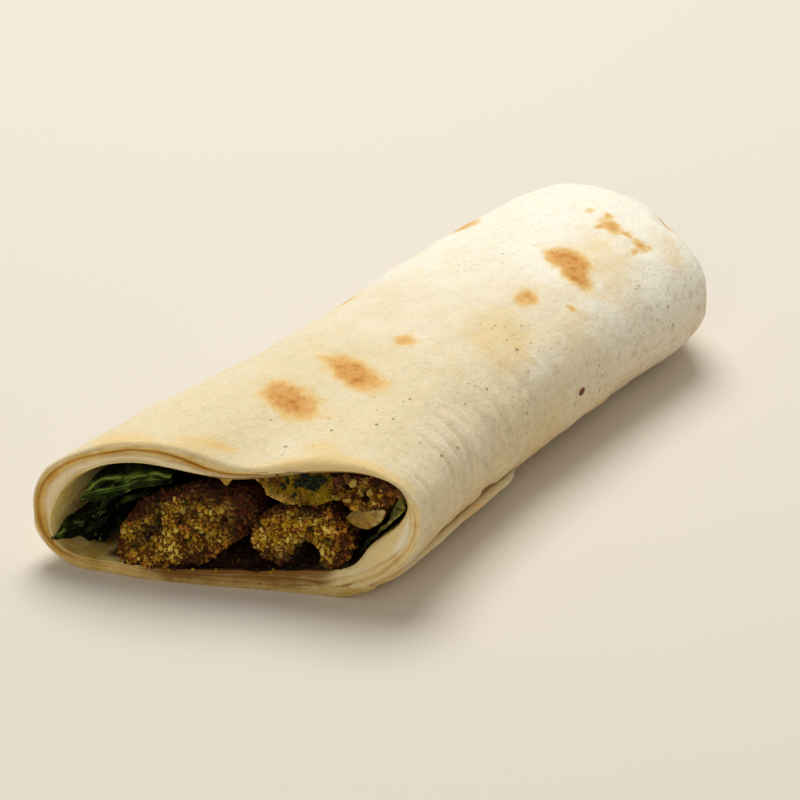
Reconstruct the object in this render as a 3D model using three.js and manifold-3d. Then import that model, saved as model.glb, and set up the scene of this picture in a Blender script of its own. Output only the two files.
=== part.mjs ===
// One half of a falafel wrap, cut across its middle and laid on its seam. A flatbread is rolled nearly
// twice round rows of falafel, a smear of hummus, spinach leaves and a piece of onion, and is tucked shut
// at its far end. Millimetres: +X runs from the cut to the tucked end, +Y to the left of it and +Z up.
import * as THREE from "three";
import { mergeVertices } from "three/addons/utils/BufferGeometryUtils.js";
import Module from "manifold-3d";

const { lerp, smoothstep, degToRad } = THREE.MathUtils;
const wasm = await Module();
wasm.setup();

// ---------------------------------------------------------------- driving dimensions

// A section's half widths to each side of the centre line, its height, how far the round underside would
// reach below the table, how high it is widest on each side as a share of the height, and how square its
// right side is above and below that: power 2 is an ellipse, and more is squarer. The mouth, at the cut, is
// spread and flattened by the knife; the body is the rest.
const BODY = {
  left: 27.5,
  right: 29,
  height: 34,
  centreY: -3.7,
  under: 1.5,
  widestLeft: 0.5,
  widestRight: 0.5,
  topPower: 2.2,
  underPower: 2.5,
};
const MOUTH = {
  left: 36.5,
  right: 40.5,
  height: 31.5,
  centreY: -0.2,
  under: 2.5,
  widestLeft: 0.4,
  widestRight: 0.66,
  topPower: 2.9,
  underPower: 2.2,
};
const LEFT_TOP_POWER = 2.3;
const LEFT_UNDER_POWER = 3;
const MOUTH_START_X = -81.5;
const MOUTH_LENGTH = 72;
const MOUTH_DIP = 5; // the top sags in a hollow between the fillings
const MOUTH_DIP_Y = -5;
const MOUTH_DIP_WIDTH = 11;

const TAIL_FROM_X = 30.5; // from here on the wrap gets a little lower and bends to the right
const TAIL_TO_X = 80.5;
const TAIL_DROP = 1;
const TAIL_SHIFT = 1.2;

const END_X = 82; // tip of the tucked end on the centre line
const END_ROUND = 24; // length over which the end rounds off
const END_POWER = 2.4; // the end's profile: 2 is round, and more is blunter
const END_SIDE_SQUARE = 3.6;
const END_TOP_SQUARE = 3.4;
const END_LEVEL = 0.42; // the end closes at this share of the height
const END_SKEW = 0.15; // the end is tucked askew, longer on the left
const END_SKEW_FROM = 45.5;
const END_SKEW_LENGTH = 35;
const END_WALL = 13; // folded bread between the filling and the tip

const CUT_POINT = new THREE.Vector3(-65, -7.5, 0);
const CUT_YAW = degToRad(22);
const CUT_BOW = { out: 2.2, across: -20, width: 20, from: 2, to: 10 }; // the lower lip stands out this far

const LAYER = 1.7; // one thickness of bread
const LAYER_GAP = 0.4; // line that parts two turns of bread at the cut
const LAYER_GAP_DEPTH = 4;
const LAYER_LINE_FROM = degToRad(226); // round the wrap, from the free edge to where the bread began
const LAYER_LINE_TO = degToRad(452);
const LAYER_LINE_DIVE = 1.8; // the inner end of the line lies this much deeper
const FLAP_END_X = -2.5; // the free edge of the bread shows from the cut to here
const FLAP_TAPER = 9;
const FLAP_EDGE = degToRad(211); // the free edge's place round the body, and how much lower it is at the cut
const FLAP_EDGE_FALL = degToRad(13);
const FLAP_ROOT = degToRad(285);
const FLAP_SUNK = 1.2; // how deep the strip is rooted in the turn under it
const FLAP_CLEAR = 0.6;

// The spiral crease of the tucked end.
const TUCK = { gap: 0.9, turns: 1.6, depth: 4.5, from: 3, to: 17, turn: 0.6, wide: 1.15, tall: 0.72, z: 14 };
const BLADE_PAST = 20;

const FALAFEL_PITCH = 38; // one falafel to the next in its row
const LEAF_THICKNESS = 0.7;

const RING_STEPS = 46;
const BODY_STEPS = 16;
const END_STEPS = 8;

// ---------------------------------------------------------------- small tools

// Seeded value noise in three dimensions, from -1 to 1, one lump for each unit of length.
function lattice(i, j, k, seed) {
  let h = Math.imul(i, 374761393) ^ Math.imul(j, 668265263);
  h ^= Math.imul(k, 2147483647) ^ Math.imul(seed, 974634777);
  h = Math.imul(h ^ (h >>> 13), 1274126177);
  return (((h ^ (h >>> 16)) >>> 0) / 4294967295) * 2 - 1;
}

function noise(x, y, z, seed) {
  const [i, j, k] = [Math.floor(x), Math.floor(y), Math.floor(z)];
  const [u, v, w] = [smoothstep(x - i, 0, 1), smoothstep(y - j, 0, 1), smoothstep(z - k, 0, 1)];
  let sum = 0;
  for (let corner = 0; corner < 8; corner++) {
    const [a, b, c] = [corner & 1, (corner >> 1) & 1, corner >> 2];
    const weight = (a ? u : 1 - u) * (b ? v : 1 - v) * (c ? w : 1 - w);
    sum += weight * lattice(i + a, j + b, k + c, seed);
  }
  return sum;
}

// A closed mesh through rings of equal point counts, each end shut by a fan round its middle.
function loft(rings) {
  const count = rings[0].length;
  const points = rings.flat();
  const index = [];
  for (let i = 0; i + 1 < rings.length; i++) {
    for (let j = 0; j < count; j++) {
      const next = (j + 1) % count;
      const [a, b] = [i * count + j, i * count + next];
      const [c, d] = [a + count, b + count];
      index.push(a, b, c, b, d, c);
    }
  }
  for (const [ring, turned] of [[0, true], [rings.length - 1, false]]) {
    const middle = points.length;
    points.push(rings[ring].reduce((sum, p) => sum.add(p), new THREE.Vector3()).divideScalar(count));
    for (let j = 0; j < count; j++) {
      const [a, b] = [ring * count + j, ring * count + ((j + 1) % count)];
      index.push(...(turned ? [middle, b, a] : [middle, a, b]));
    }
  }
  return new THREE.BufferGeometry().setFromPoints(points).setIndex(index);
}

function solidOf(geometry) {
  const bare = geometry.clone();
  bare.deleteAttribute("normal");
  bare.deleteAttribute("uv");
  const merged = mergeVertices(bare, 1e-4);
  const triVerts = new Uint32Array(merged.index.array);
  const vertProperties = merged.attributes.position.array;
  let solid = new wasm.Manifold(new wasm.Mesh({ numProp: 3, vertProperties, triVerts }));
  if (solid.volume() < 0) {
    triVerts.reverse();
    solid = new wasm.Manifold(new wasm.Mesh({ numProp: 3, vertProperties, triVerts }));
  }
  return solid;
}

function geometryOf(solid) {
  const { vertProperties, triVerts } = solid.getMesh();
  return new THREE.BufferGeometry()
    .setAttribute("position", new THREE.BufferAttribute(new Float32Array(vertProperties), 3))
    .setIndex(new THREE.BufferAttribute(new Uint32Array(triVerts), 1));
}

// ---------------------------------------------------------------- the wrap's outer form

function roundedPower(value, power) {
  return Math.sign(value) * Math.abs(value) ** (2 / power);
}

// How much of the mouth's form the wrap has at x, from 1 at the cut's far corner to 0 in the body.
function mouthAt(x) {
  return 1 - smoothstep(x, MOUTH_START_X, MOUTH_START_X + MOUTH_LENGTH);
}

// A point of the wrap's outside. Angle 0 is the left side and 90 degrees the top.
function skinPoint(x, angle) {
  const mouth = mouthAt(x);
  const tail = smoothstep(x, TAIL_FROM_X, TAIL_TO_X);
  const blend = (key) => lerp(BODY[key], MOUTH[key], mouth);
  const [c, s] = [Math.cos(angle), Math.sin(angle)];
  const [isLeft, isTop] = [c >= 0, s >= 0];
  const halfWidth = blend(isLeft ? "left" : "right");
  const height = blend("height") - TAIL_DROP * tail;
  const widest = height * blend(isLeft ? "widestLeft" : "widestRight");
  const topPower = isLeft ? LEFT_TOP_POWER : blend("topPower");
  const underPower = isLeft ? LEFT_UNDER_POWER : blend("underPower");
  const power = isTop ? topPower : underPower;

  const inEnd = THREE.MathUtils.clamp((x - (END_X - END_ROUND)) / END_ROUND, 0, 1);
  const endWidth = (1 - inEnd ** END_SIDE_SQUARE) ** (1 / END_POWER);
  const endHeight = (1 - inEnd ** END_TOP_SQUARE) ** (1 / END_POWER);

  const side = halfWidth * roundedPower(c, power) * endWidth;
  const y = blend("centreY") - TAIL_SHIFT * tail + side;
  const reach = isTop ? height - widest : widest + blend("under");
  const level = END_LEVEL * height;
  const dip = Math.exp(-(((side - MOUTH_DIP_Y) / MOUTH_DIP_WIDTH) ** 2));
  let z = level + (widest + reach * roundedPower(s, power) - level) * endHeight;
  z -= MOUTH_DIP * mouth * dip * Math.max(s, 0);
  const skew = END_SKEW * (y - BODY.centreY) * smoothstep(x, END_SKEW_FROM, END_SKEW_FROM + END_SKEW_LENGTH);
  return new THREE.Vector3(x + skew, y, Math.max(z, 0));
}

// The skin point moved out of the surface, across the wrap, by a distance.
function skinOffset(x, angle, distance) {
  const step = 0.02;
  const tangent = skinPoint(x, angle + step).sub(skinPoint(x, angle - step));
  const out = new THREE.Vector3(0, tangent.z, -tangent.y).normalize();
  const point = skinPoint(x, angle).addScaledVector(out, distance);
  point.z = Math.max(point.z, 0);
  return point;
}

function ringAt(x) {
  return Array.from({ length: RING_STEPS }, (_, j) => skinPoint(x, (j / RING_STEPS) * 2 * Math.PI));
}

// The uncut form starts a little in front of the cut, and its rings crowd towards the tip of the end.
function wholeForm() {
  const rings = [];
  const beforeCut = MOUTH_START_X - 10;
  const straightEnd = END_X - END_ROUND;
  const [tipTurn, crowding] = [0.985 * (Math.PI / 2), 0.8];
  for (let i = 0; i < BODY_STEPS; i++) {
    rings.push(ringAt(lerp(beforeCut, straightEnd, i / BODY_STEPS)));
  }
  for (let i = 0; i <= END_STEPS; i++) {
    const turn = (i / END_STEPS) * tipTurn;
    rings.push(ringAt(straightEnd + END_ROUND * Math.sin(turn) ** crowding));
  }
  return solidOf(loft(rings));
}

// ---------------------------------------------------------------- the cut, and the space inside

const CUT_OUT = new THREE.Vector3(-Math.cos(CUT_YAW), -Math.sin(CUT_YAW), 0);
const CUT_RIGHT = new THREE.Vector3(Math.sin(CUT_YAW), -Math.cos(CUT_YAW), 0);

// How far the cut bows out of its plane: the lower lip was pressed to the table and sprang forward.
function bowAt(across, up) {
  const middle = Math.exp(-(((across - CUT_BOW.across) / CUT_BOW.width) ** 2));
  return CUT_BOW.out * middle * (1 - smoothstep(up, CUT_BOW.from, CUT_BOW.to));
}

// Everything in front of the cut, as a block whose near face has the bow.
function knifeBlock() {
  const [halfAcross, acrossSteps, thick] = [66, 22, 90];
  const levels = [-20, 0, 2, 4, 6, 8, 10, 60];
  const face = (out) =>
    levels.map((up) =>
      Array.from({ length: acrossSteps + 1 }, (_, j) => {
        const across = lerp(-halfAcross, halfAcross, j / acrossSteps);
        const place = CUT_POINT.clone().addScaledVector(CUT_RIGHT, across);
        return place.addScaledVector(CUT_OUT, bowAt(across, up) + out).setZ(up);
      }),
    );
  return solidOf(sheet(face(0), face(thick)));
}

// A place inside the wrap. across is measured along the cut, to the right, and up from the table, both as
// they are at the cut; along runs from 0 at the cut to 1 at the tucked end. The space inside narrows with
// the skin from the mouth to the body, so pieces that are clear of each other at the cut stay clear.
const INSIDE = { middleAcross: -6.8, middleY: -4.9, widthShare: 0.655, floor: 3.3, heightShare: 0.88 };
const RIGHT_SINK = 4; // the right side sits high at the mouth and settles behind it
const RIGHT_EDGE = 30;

function inside(across, up, along) {
  const atCut = CUT_POINT.clone().addScaledVector(CUT_RIGHT, across);
  const x = lerp(atCut.x, END_X - END_WALL, along);
  const settled = 1 - mouthAt(x) / mouthAt(atCut.x);
  const bodyY = INSIDE.middleY - (across - INSIDE.middleAcross) * INSIDE.widthShare;
  const bodyZ = INSIDE.floor + up * INSIDE.heightShare - RIGHT_SINK * smoothstep(across, 0, RIGHT_EDGE);
  return new THREE.Vector3(x, lerp(atCut.y, bodyY, settled), lerp(up, bodyZ, settled));
}

// The inner face of the bread at the cut, as [across, up], from the left side over the top.
const INNER_OUTLINE = [
  [-42.9, 9], [-41.2, 15], [-37.6, 20], [-31.6, 23.7], [-24, 25.3], [-12, 24.4], [-6, 24], [2, 25.4],
  [12, 27.9], [22, 28.8], [28.2, 26.8], [30.2, 22.8], [28.6, 18.6], [23, 13], [18.8, 7.4], [8, 5.2],
  [-8, 3.7], [-24, 2.9], [-38, 3], [-42, 5.2],
];
const INNER_MIDDLE = { across: -6, up: 15 };
const INNER_CLOSING = { from: 0.93, to: 1.04, by: 0.3 }; // the space narrows by this share at its end
const innerCurve = new THREE.CatmullRomCurve3(
  INNER_OUTLINE.map(([across, up]) => new THREE.Vector3(across, up, 0)),
  true,
  "centripetal",
);

function pocket() {
  const outline = innerCurve.getPoints(44).slice(0, -1);
  const middle = INNER_MIDDLE;
  const stations = [-0.06, 0, 0.08, 0.16, 0.25, 0.35, 0.45, 0.6, 0.75, 0.9, 0.96, 1, 1.02];
  const shrink = (along) => 1 - INNER_CLOSING.by * smoothstep(along, INNER_CLOSING.from, INNER_CLOSING.to);
  const rings = stations.map((along) =>
    outline.map((p) =>
      inside(
        middle.across + (p.x - middle.across) * shrink(along),
        middle.up + (p.y - middle.up) * shrink(along),
        along,
      ),
    ),
  );
  return solidOf(loft(rings));
}

// ---------------------------------------------------------------- the bread

// A thin closed blade that follows a curve of points, for a crease. It reaches from one distance to another
// along a direction.
function blade(curve, width, direction, from, to) {
  const rings = curve.map((point, i) => {
    const tangent = curve[Math.min(i + 1, curve.length - 1)].clone().sub(curve[Math.max(i - 1, 0)]);
    const across = tangent.cross(direction).setLength(width / 2);
    return [
      point.clone().add(across).addScaledVector(direction, from),
      point.clone().add(across).addScaledVector(direction, to),
      point.clone().sub(across).addScaledVector(direction, to),
      point.clone().sub(across).addScaledVector(direction, from),
    ];
  });
  return solidOf(loft(rings));
}

// The skin's outline at the cut: the cut leans across the wrap, so x follows from y step by step.
function skinAtCut(angle) {
  let x = CUT_POINT.x;
  for (let i = 0; i < 8; i++) x = CUT_POINT.x - (skinPoint(x, angle).y - CUT_POINT.y) * Math.tan(CUT_YAW);
  return skinPoint(x, angle);
}

// The line between the outer and the inner turn of bread, from the free edge under the right side, under
// the wrap, up the left side and over to where the bread began, near the middle of the top.
function layerLine() {
  const points = [];
  const [steps, turnStep] = [44, 0.02];
  for (let i = 0; i <= steps; i++) {
    const angle = lerp(LAYER_LINE_FROM, LAYER_LINE_TO, i / steps);
    const skin = skinAtCut(angle);
    const next = skinAtCut(angle - turnStep);
    const inward = new THREE.Vector3().subVectors(next, skin).cross(CUT_OUT).negate().normalize();
    const opening = smoothstep(i / steps, -0.02, 0.1);
    const dive = smoothstep(i / steps, 0.86, 1);
    points.push(skin.addScaledVector(inward, LAYER * opening + LAYER_LINE_DIVE * dive));
  }
  return points;
}

// The free edge of the bread: a strip of one more layer under the right side, from the cut to a round end.
function flap() {
  const rings = [];
  const [steps, sides] = [9, 6];
  for (let i = 0; i <= steps; i++) {
    const x = lerp(MOUTH_START_X, FLAP_END_X, i / steps);
    const taper = smoothstep(FLAP_END_X - x, -1.5, FLAP_TAPER);
    const edge = FLAP_EDGE + FLAP_EDGE_FALL * mouthAt(x);
    const outer = [];
    const inner = [];
    for (let j = 0; j <= sides; j++) {
      const angle = lerp(edge, FLAP_ROOT, j / sides);
      const root = skinOffset(x, angle, -FLAP_SUNK);
      outer.push(skinOffset(x, angle, LAYER * Math.sqrt(taper)));
      inner.unshift(root.setZ(Math.max(root.z, FLAP_CLEAR)));
    }
    rings.push([...outer, ...inner]);
  }
  return solidOf(loft(rings));
}

// The crease of the tucked end: a spiral pressed into the blunt tip.
function tuckCrease() {
  const points = [];
  const steps = 40;
  for (let i = 0; i <= steps; i++) {
    const share = i / steps;
    const angle = TUCK.turn + share * TUCK.turns * 2 * Math.PI;
    const radius = lerp(TUCK.from, TUCK.to, share);
    const y = BODY.centreY - TAIL_SHIFT + radius * TUCK.wide * Math.cos(angle);
    const x = END_X + END_SKEW * (y - BODY.centreY);
    points.push(new THREE.Vector3(x, y, TUCK.z + radius * TUCK.tall * Math.sin(angle)));
  }
  return blade(points, TUCK.gap, new THREE.Vector3(1, 0, 0), -TUCK.depth, BLADE_PAST);
}

function bread() {
  const inward = CUT_OUT.clone().negate();
  const layers = blade(layerLine(), LAYER_GAP, inward, -CUT_BOW.out - 1, LAYER_GAP_DEPTH);
  const rolled = wholeForm().add(flap()).subtract(pocket());
  return geometryOf(rolled.subtract(knifeBlock()).subtract(layers).subtract(tuckCrease()));
}

// ---------------------------------------------------------------- the fillings

const INSIDE_LENGTH = 140; // from the cut to the tucked end, down the middle
const CRUMB_SIZE = 3.2;
const LUMP_SIZE = 9;
const FRONT_RINGS = [0.3, 0.66, 0.93]; // the rings of a filling's face at the cut, as shares of its outline
const FRONT_EDGE = 1; // the face's outline is rounded back by this much
const BOW_FADE = 14; // behind the cut a filling loses the cut's bow over this length
const ROW_BULGE = 0.58; // a falafel's half length, with what its neighbours hide, as a share of the pitch
const CLOSING = { before: 12, past: 2, least: 0.05 }; // how a filling rounds off at its far end

// A filling that runs through the wrap. Its section at the cut is a rounded form round a middle place; at
// the cut its face is rough, and it closes just short of the tucked end. A row of falafel has waists.
function filling({ across, up, halfAcross, halfUp, power = 2.2, lean = 0, pitch = 0, crag = 0, ...rest }) {
  const { seed, ringSteps, stations, start = 0.5, pits = 0.6, length = 136 } = rest;
  const total = FRONT_RINGS.length + stations;
  const sideStart = start + FRONT_EDGE;
  const rings = [];
  for (let i = 0; i < total; i++) {
    const isFront = i < FRONT_RINGS.length;
    const share = isFront ? 0 : (i - FRONT_RINGS.length) / (stations - 1);
    const distance = isFront ? start : lerp(sideStart, length, share);
    const fromMiddle = pitch ? Math.abs(((distance + pitch / 2) % pitch) - pitch / 2) : 0;
    const waist = pitch ? Math.sqrt(1 - (fromMiddle / (ROW_BULGE * pitch)) ** 2) : 1;
    const closed = smoothstep(distance, length - CLOSING.before, length + CLOSING.past);
    const closing = Math.sqrt(Math.max(1 - closed ** 2, CLOSING.least));
    const scale = isFront ? FRONT_RINGS[i] : waist * closing;
    const bowed = 1 - smoothstep(distance, sideStart, BOW_FADE);
    const ring = [];
    for (let j = 0; j < ringSteps; j++) {
      const angle = (j / ringSteps) * 2 * Math.PI;
      const right = halfAcross * roundedPower(Math.cos(angle), power);
      const rise = halfUp * roundedPower(Math.sin(angle), power);
      const fine = noise(right / CRUMB_SIZE, rise / CRUMB_SIZE, distance / CRUMB_SIZE, seed);
      const broad = noise(right / LUMP_SIZE, rise / LUMP_SIZE, distance / LUMP_SIZE, seed + 2);
      const lump = 1 - crag * (0.5 + 0.3 * fine + 0.5 * broad);
      const [r, u] = [right * scale * lump, rise * scale * lump];
      const pit = isFront ? pits * (1 + noise(r / CRUMB_SIZE, u / CRUMB_SIZE, 7.5, seed + 1)) : 0;
      const placeAcross = across + r * Math.cos(lean) - u * Math.sin(lean);
      const placeUp = up + u * Math.cos(lean) + r * Math.sin(lean);
      const depth = distance + pit - bowed * bowAt(placeAcross, placeUp);
      ring.push(inside(placeAcross, placeUp, depth / INSIDE_LENGTH));
    }
    rings.push(ring);
  }
  return loft(rings);
}

// A thin closed sheet between two grids of points that are split into triangles alike.
function sheet(faceA, faceB) {
  const [rows, columns] = [faceA.length, faceA[0].length];
  const points = [...faceA.flat(), ...faceB.flat()];
  const other = rows * columns;
  const index = [];
  for (let i = 0; i + 1 < rows; i++) {
    for (let j = 0; j + 1 < columns; j++) {
      const [a, c] = [i * columns + j, (i + 1) * columns + j];
      const [b, d] = [a + 1, c + 1];
      index.push(a, b, c, b, d, c);
      index.push(other + a, other + c, other + b, other + b, other + c, other + d);
    }
  }
  const rim = [];
  for (let j = 0; j < columns; j++) rim.push(j);
  for (let i = 1; i < rows; i++) rim.push(i * columns + columns - 1);
  for (let j = columns - 2; j >= 0; j--) rim.push((rows - 1) * columns + j);
  for (let i = rows - 2; i > 0; i--) rim.push(i * columns);
  rim.forEach((a, k) => {
    const b = rim[(k + 1) % rim.length];
    index.push(a, other + a, b, b, other + a, other + b);
  });
  return new THREE.BufferGeometry().setFromPoints(points).setIndex(index);
}

const LEAF_NARROWS = 0.3; // share of its length from which a leaf narrows to its tip
const LEAF_TIP = 0.03;
const LEAF_WAVE = 6.2; // length of one ripple
const LEAF_RAGGED = 1.1; // unevenness of its edge at the cut

// A spinach leaf rolled in with the rest: its section at the cut follows a path of [across, up] places, it
// ripples along the wrap, and it narrows to a round tip inside.
function leaf({ path, start, length, ripple, seed }) {
  const curve = new THREE.CatmullRomCurve3(path.map(([across, up]) => new THREE.Vector3(across, up, 0)));
  const [rows, columns] = [12, 8];
  const [faceA, faceB] = [[], []];
  for (let i = 0; i < rows; i++) {
    const share = i / (rows - 1);
    const spread = Math.sqrt(Math.max(1 - smoothstep(share, LEAF_NARROWS, 1) ** 2, LEAF_TIP));
    const [rowA, rowB] = [[], []];
    for (let j = 0; j < columns; j++) {
      const t = 0.5 + spread * (j / (columns - 1) - 0.5);
      const place = curve.getPoint(t);
      const tangent = curve.getTangent(t);
      const wave = ripple * noise(j * 0.45, (share * length) / LEAF_WAVE, 3.5, seed);
      const ragged = LEAF_RAGGED * (1 + noise(j * 0.8, 1.5, 5.5, seed)) * (1 - share);
      const along = (start + ragged + share * length) / INSIDE_LENGTH;
      for (const [row, side] of [[rowA, 0.5], [rowB, -0.5]]) {
        const off = wave + side * LEAF_THICKNESS;
        row.push(inside(place.x - tangent.y * off, place.y + tangent.x * off, along));
      }
    }
    faceA.push(rowA);
    faceB.push(rowB);
  }
  return sheet(faceA, faceB);
}

// ---------------------------------------------------------------- the pieces

const FALAFEL = { pitch: FALAFEL_PITCH, crag: 0.16, pits: 1.6, stations: 25 };
const fillings = {
  falafel_left: {
    ...FALAFEL,
    across: -15.2,
    up: 12.7,
    halfAcross: 14.2,
    halfUp: 8.7,
    ringSteps: 26,
    seed: 11,
  },
  falafel_right: {
    ...FALAFEL,
    across: 9,
    up: 12.5,
    halfAcross: 10,
    halfUp: 7,
    ringSteps: 22,
    seed: 23,
  },
  falafel_top: {
    ...FALAFEL,
    across: 20.5,
    up: 24.6,
    halfAcross: 7,
    halfUp: 3.8,
    lean: 0.06,
    ringSteps: 18,
    stations: 21,
    seed: 37,
  },
  hummus: {
    across: 6,
    up: 22.9,
    halfAcross: 7.3,
    halfUp: 3,
    lean: 0.17,
    crag: 0.08,
    pits: 0.5,
    ringSteps: 16,
    stations: 16,
    seed: 41,
  },
  onion: {
    across: 20.8,
    up: 18.1,
    halfAcross: 3.9,
    halfUp: 2,
    power: 3,
    lean: 0.2,
    pits: 0.2,
    length: 40,
    ringSteps: 12,
    stations: 8,
    seed: 53,
  },
};

const leaves = {
  leaf_upper: {
    path: [[-37.4, 15.2], [-35.6, 19.3], [-31, 22.2], [-25.6, 23.4], [-19.6, 23.2]],
    start: 1,
    length: 66,
    ripple: 0.9,
    seed: 61,
  },
  leaf_middle: {
    path: [[-38.6, 11.4], [-35, 14.4], [-32.4, 17], [-29.8, 19.2], [-25.8, 20.7]],
    start: 2,
    length: 58,
    ripple: 0.8,
    seed: 67,
  },
  leaf_lower: {
    path: [[-41.3, 7], [-39, 9], [-36, 9.7], [-33, 11.8], [-31, 14.6]],
    start: 0,
    length: 62,
    ripple: 0.8,
    seed: 71,
  },
  leaf_floor: {
    path: [[-37.4, 5.2], [-34.6, 7.2], [-32, 8.2], [-30.6, 10.6]],
    start: 1.5,
    length: 45,
    ripple: 0.5,
    seed: 73,
  },
  leaf_top: {
    path: [[-16.6, 22.3], [-12, 22.7], [-8, 22.6], [-4, 22.9]],
    start: 3,
    length: 52,
    ripple: 0.3,
    seed: 79,
  },
  leaf_right: {
    path: [[28.3, 25], [28.5, 21.6], [26.3, 18.3], [23, 15], [20.8, 12], [19.5, 9.9]],
    start: 0.3,
    length: 50,
    ripple: 0.25,
    seed: 83,
  },
};

const finishes = {
  bread: new THREE.MeshStandardMaterial({ color: 0xeee5cc, roughness: 0.8, metalness: 0 }),
  falafel: new THREE.MeshStandardMaterial({ color: 0x8a6428, roughness: 0.9, metalness: 0 }),
  hummus: new THREE.MeshStandardMaterial({ color: 0xb5a064, roughness: 0.6, metalness: 0 }),
  onion: new THREE.MeshStandardMaterial({ color: 0xd8c690, roughness: 0.45, metalness: 0 }),
  leaf: new THREE.MeshStandardMaterial({ color: 0x1f3d18, roughness: 0.5, metalness: 0 }),
};

const wrap = new THREE.Group();
wrap.name = "falafel_wrap_half";

function addPiece(name, geometry, finish) {
  const piece = new THREE.Mesh(geometry, finishes[finish]);
  piece.name = name;
  wrap.add(piece);
}

addPiece("tortilla", bread(), "bread");
for (const [name, size] of Object.entries(fillings)) {
  const finish = name.startsWith("falafel") ? "falafel" : name;
  addPiece(name, geometryOf(solidOf(filling(size))), finish);
}
for (const [name, size] of Object.entries(leaves)) addPiece(name, geometryOf(solidOf(leaf(size))), "leaf");

export default wrap;
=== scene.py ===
import math
from collections import namedtuple

import bpy
import numpy as np
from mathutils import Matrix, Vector


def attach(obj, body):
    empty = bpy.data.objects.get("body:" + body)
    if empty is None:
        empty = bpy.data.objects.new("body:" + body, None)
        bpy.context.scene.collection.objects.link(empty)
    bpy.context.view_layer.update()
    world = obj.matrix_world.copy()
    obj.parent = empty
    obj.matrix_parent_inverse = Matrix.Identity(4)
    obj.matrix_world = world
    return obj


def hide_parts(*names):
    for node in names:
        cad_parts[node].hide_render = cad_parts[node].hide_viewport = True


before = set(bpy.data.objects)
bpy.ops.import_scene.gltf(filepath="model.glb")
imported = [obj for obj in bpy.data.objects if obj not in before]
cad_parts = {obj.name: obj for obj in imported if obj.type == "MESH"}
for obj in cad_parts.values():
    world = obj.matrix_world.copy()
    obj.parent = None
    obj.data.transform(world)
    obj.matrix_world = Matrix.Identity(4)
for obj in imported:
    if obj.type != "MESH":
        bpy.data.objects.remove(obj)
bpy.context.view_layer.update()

# ---------------------------------------------------------------- the rolled flatbread
# A soft wheat flatbread, baked on a hot plate, rolled nearly twice round the filling, cut across with a
# knife and tucked shut at its far end. It is one closed skin: from the tucked end along the outside to the
# cut, over the cut layers, and in along the inner face. Sizes here and below are millimetres.

# A section across the wrap: its reach to each side, its height, its middle's y, how far it would bulge
# under the table's level, how high its widest places are as shares of the height, and how square each
# quarter is.
SECTION_SIZES = "left right height centre_y under widest_left widest_right"
Section = namedtuple("Section", SECTION_SIZES + " top_left top_right low_left low_right")
BODY = Section(27.5, 29.0, 34.0, -3.7, 1.5, 0.5, 0.5, 2.3, 2.2, 3.0, 2.5)
MOUTH = Section(36.5, 40.5, 31.5, -0.2, 2.5, 0.4, 0.66, 2.3, 2.9, 3.0, 2.2)
MOUTH_START_X, MOUTH_LENGTH = -81.5, 72.0
DIP, DIP_Y, DIP_WIDTH = 5.0, -5.0, 11.0  # the top sags between the fillings
TAIL_FROM_X, TAIL_TO_X, TAIL_SHIFT = 30.5, 80.5, 1.2  # it slims a little towards the tucked end
END_X, END_ROUND, END_WALL, END_AXIS = 82.0, 24.0, 13.0, 0.42
SKEW, SKEW_FROM_X, SKEW_TO_X = 0.15, 45.5, 80.5  # the end is tucked askew, longer on the left

# The cut is upright and runs askew across the wrap, through this point.
CUT_POINT = np.array([-65.0, -7.5, 0.0])
CUT_YAW = math.radians(22)
CUT_OUT = np.array([-math.cos(CUT_YAW), -math.sin(CUT_YAW), 0.0])
CUT_RIGHT = np.array([math.sin(CUT_YAW), -math.cos(CUT_YAW), 0.0])
UP = np.array([0.0, 0.0, 1.0])

# The lower lip of the cut was pressed to the table and sprang forward, out of the cut's plane.
BOW, BOW_ACROSS, BOW_WIDTH, BOW_DEEP = 2.2, -20.0, 20.0, 14.0
BOW_FROM, BOW_TO = 2.0, 10.0

RING = 300  # points round the wrap
SPAN_SAMPLES, RIM_SAMPLES = 24, 2881  # how finely a curve and the rim are measured


def mix(a, b, share):
    return a + (b - a) * share


def smoothstep(value, low, high):
    t = np.clip((value - low) / (high - low), 0, 1)
    return t * t * (3 - 2 * t)


def between(value, low, high, soft):
    """1 from low to high, fading to 0 over soft outside them."""
    return smoothstep(value, low - soft, low) * (1 - smoothstep(value, high, high + soft))


def bell(distance, width):
    """1 at no distance, about a third at the width, and then soon 0."""
    return np.exp(-((distance / width) ** 2))


def gap(a, b):
    """The distance between points."""
    return np.linalg.norm(a - b, axis=-1)


def stacked(*coordinates):
    """Points from their coordinates, which may be grids, rows or single numbers."""
    return np.stack(np.broadcast_arrays(*coordinates), -1)


def lattice(i, j, k, seed):
    mask = 0xFFFFFFFF
    h = (i * 374761393 + j * 668265263 + k * 1442695041 + seed * 974634777) & mask
    h = ((h ^ (h >> 13)) * 1274126177) & mask
    return (h ^ (h >> 16)) / (mask / 2) - 1


def lumps(points, size, seed):
    """Smooth unevenness from -1 to 1, with one lump for each size in millimetres."""
    at = np.asarray(points) / size
    base = np.floor(at).astype(np.int64)
    part = at - base
    part = part * part * (3 - 2 * part)
    total = np.zeros(at.shape[:-1])
    for corner in range(8):
        step = np.array([corner & 1, corner >> 1 & 1, corner >> 2])
        weight = np.prod(np.where(step, part, 1 - part), axis=-1)
        i, j, k = np.moveaxis(base + step, -1, 0)
        total += weight * lattice(i, j, k, seed)
    return total


def uneven(points, *layers):
    """Lumps laid over each other, each layer with its height, size and seed."""
    return sum(height * lumps(points, size, seed) for height, size, seed in layers)


def rounded_power(value, power):
    """Power 2 gives an ellipse, and more is squarer."""
    return np.sign(value) * np.abs(value) ** (2 / power)


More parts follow.
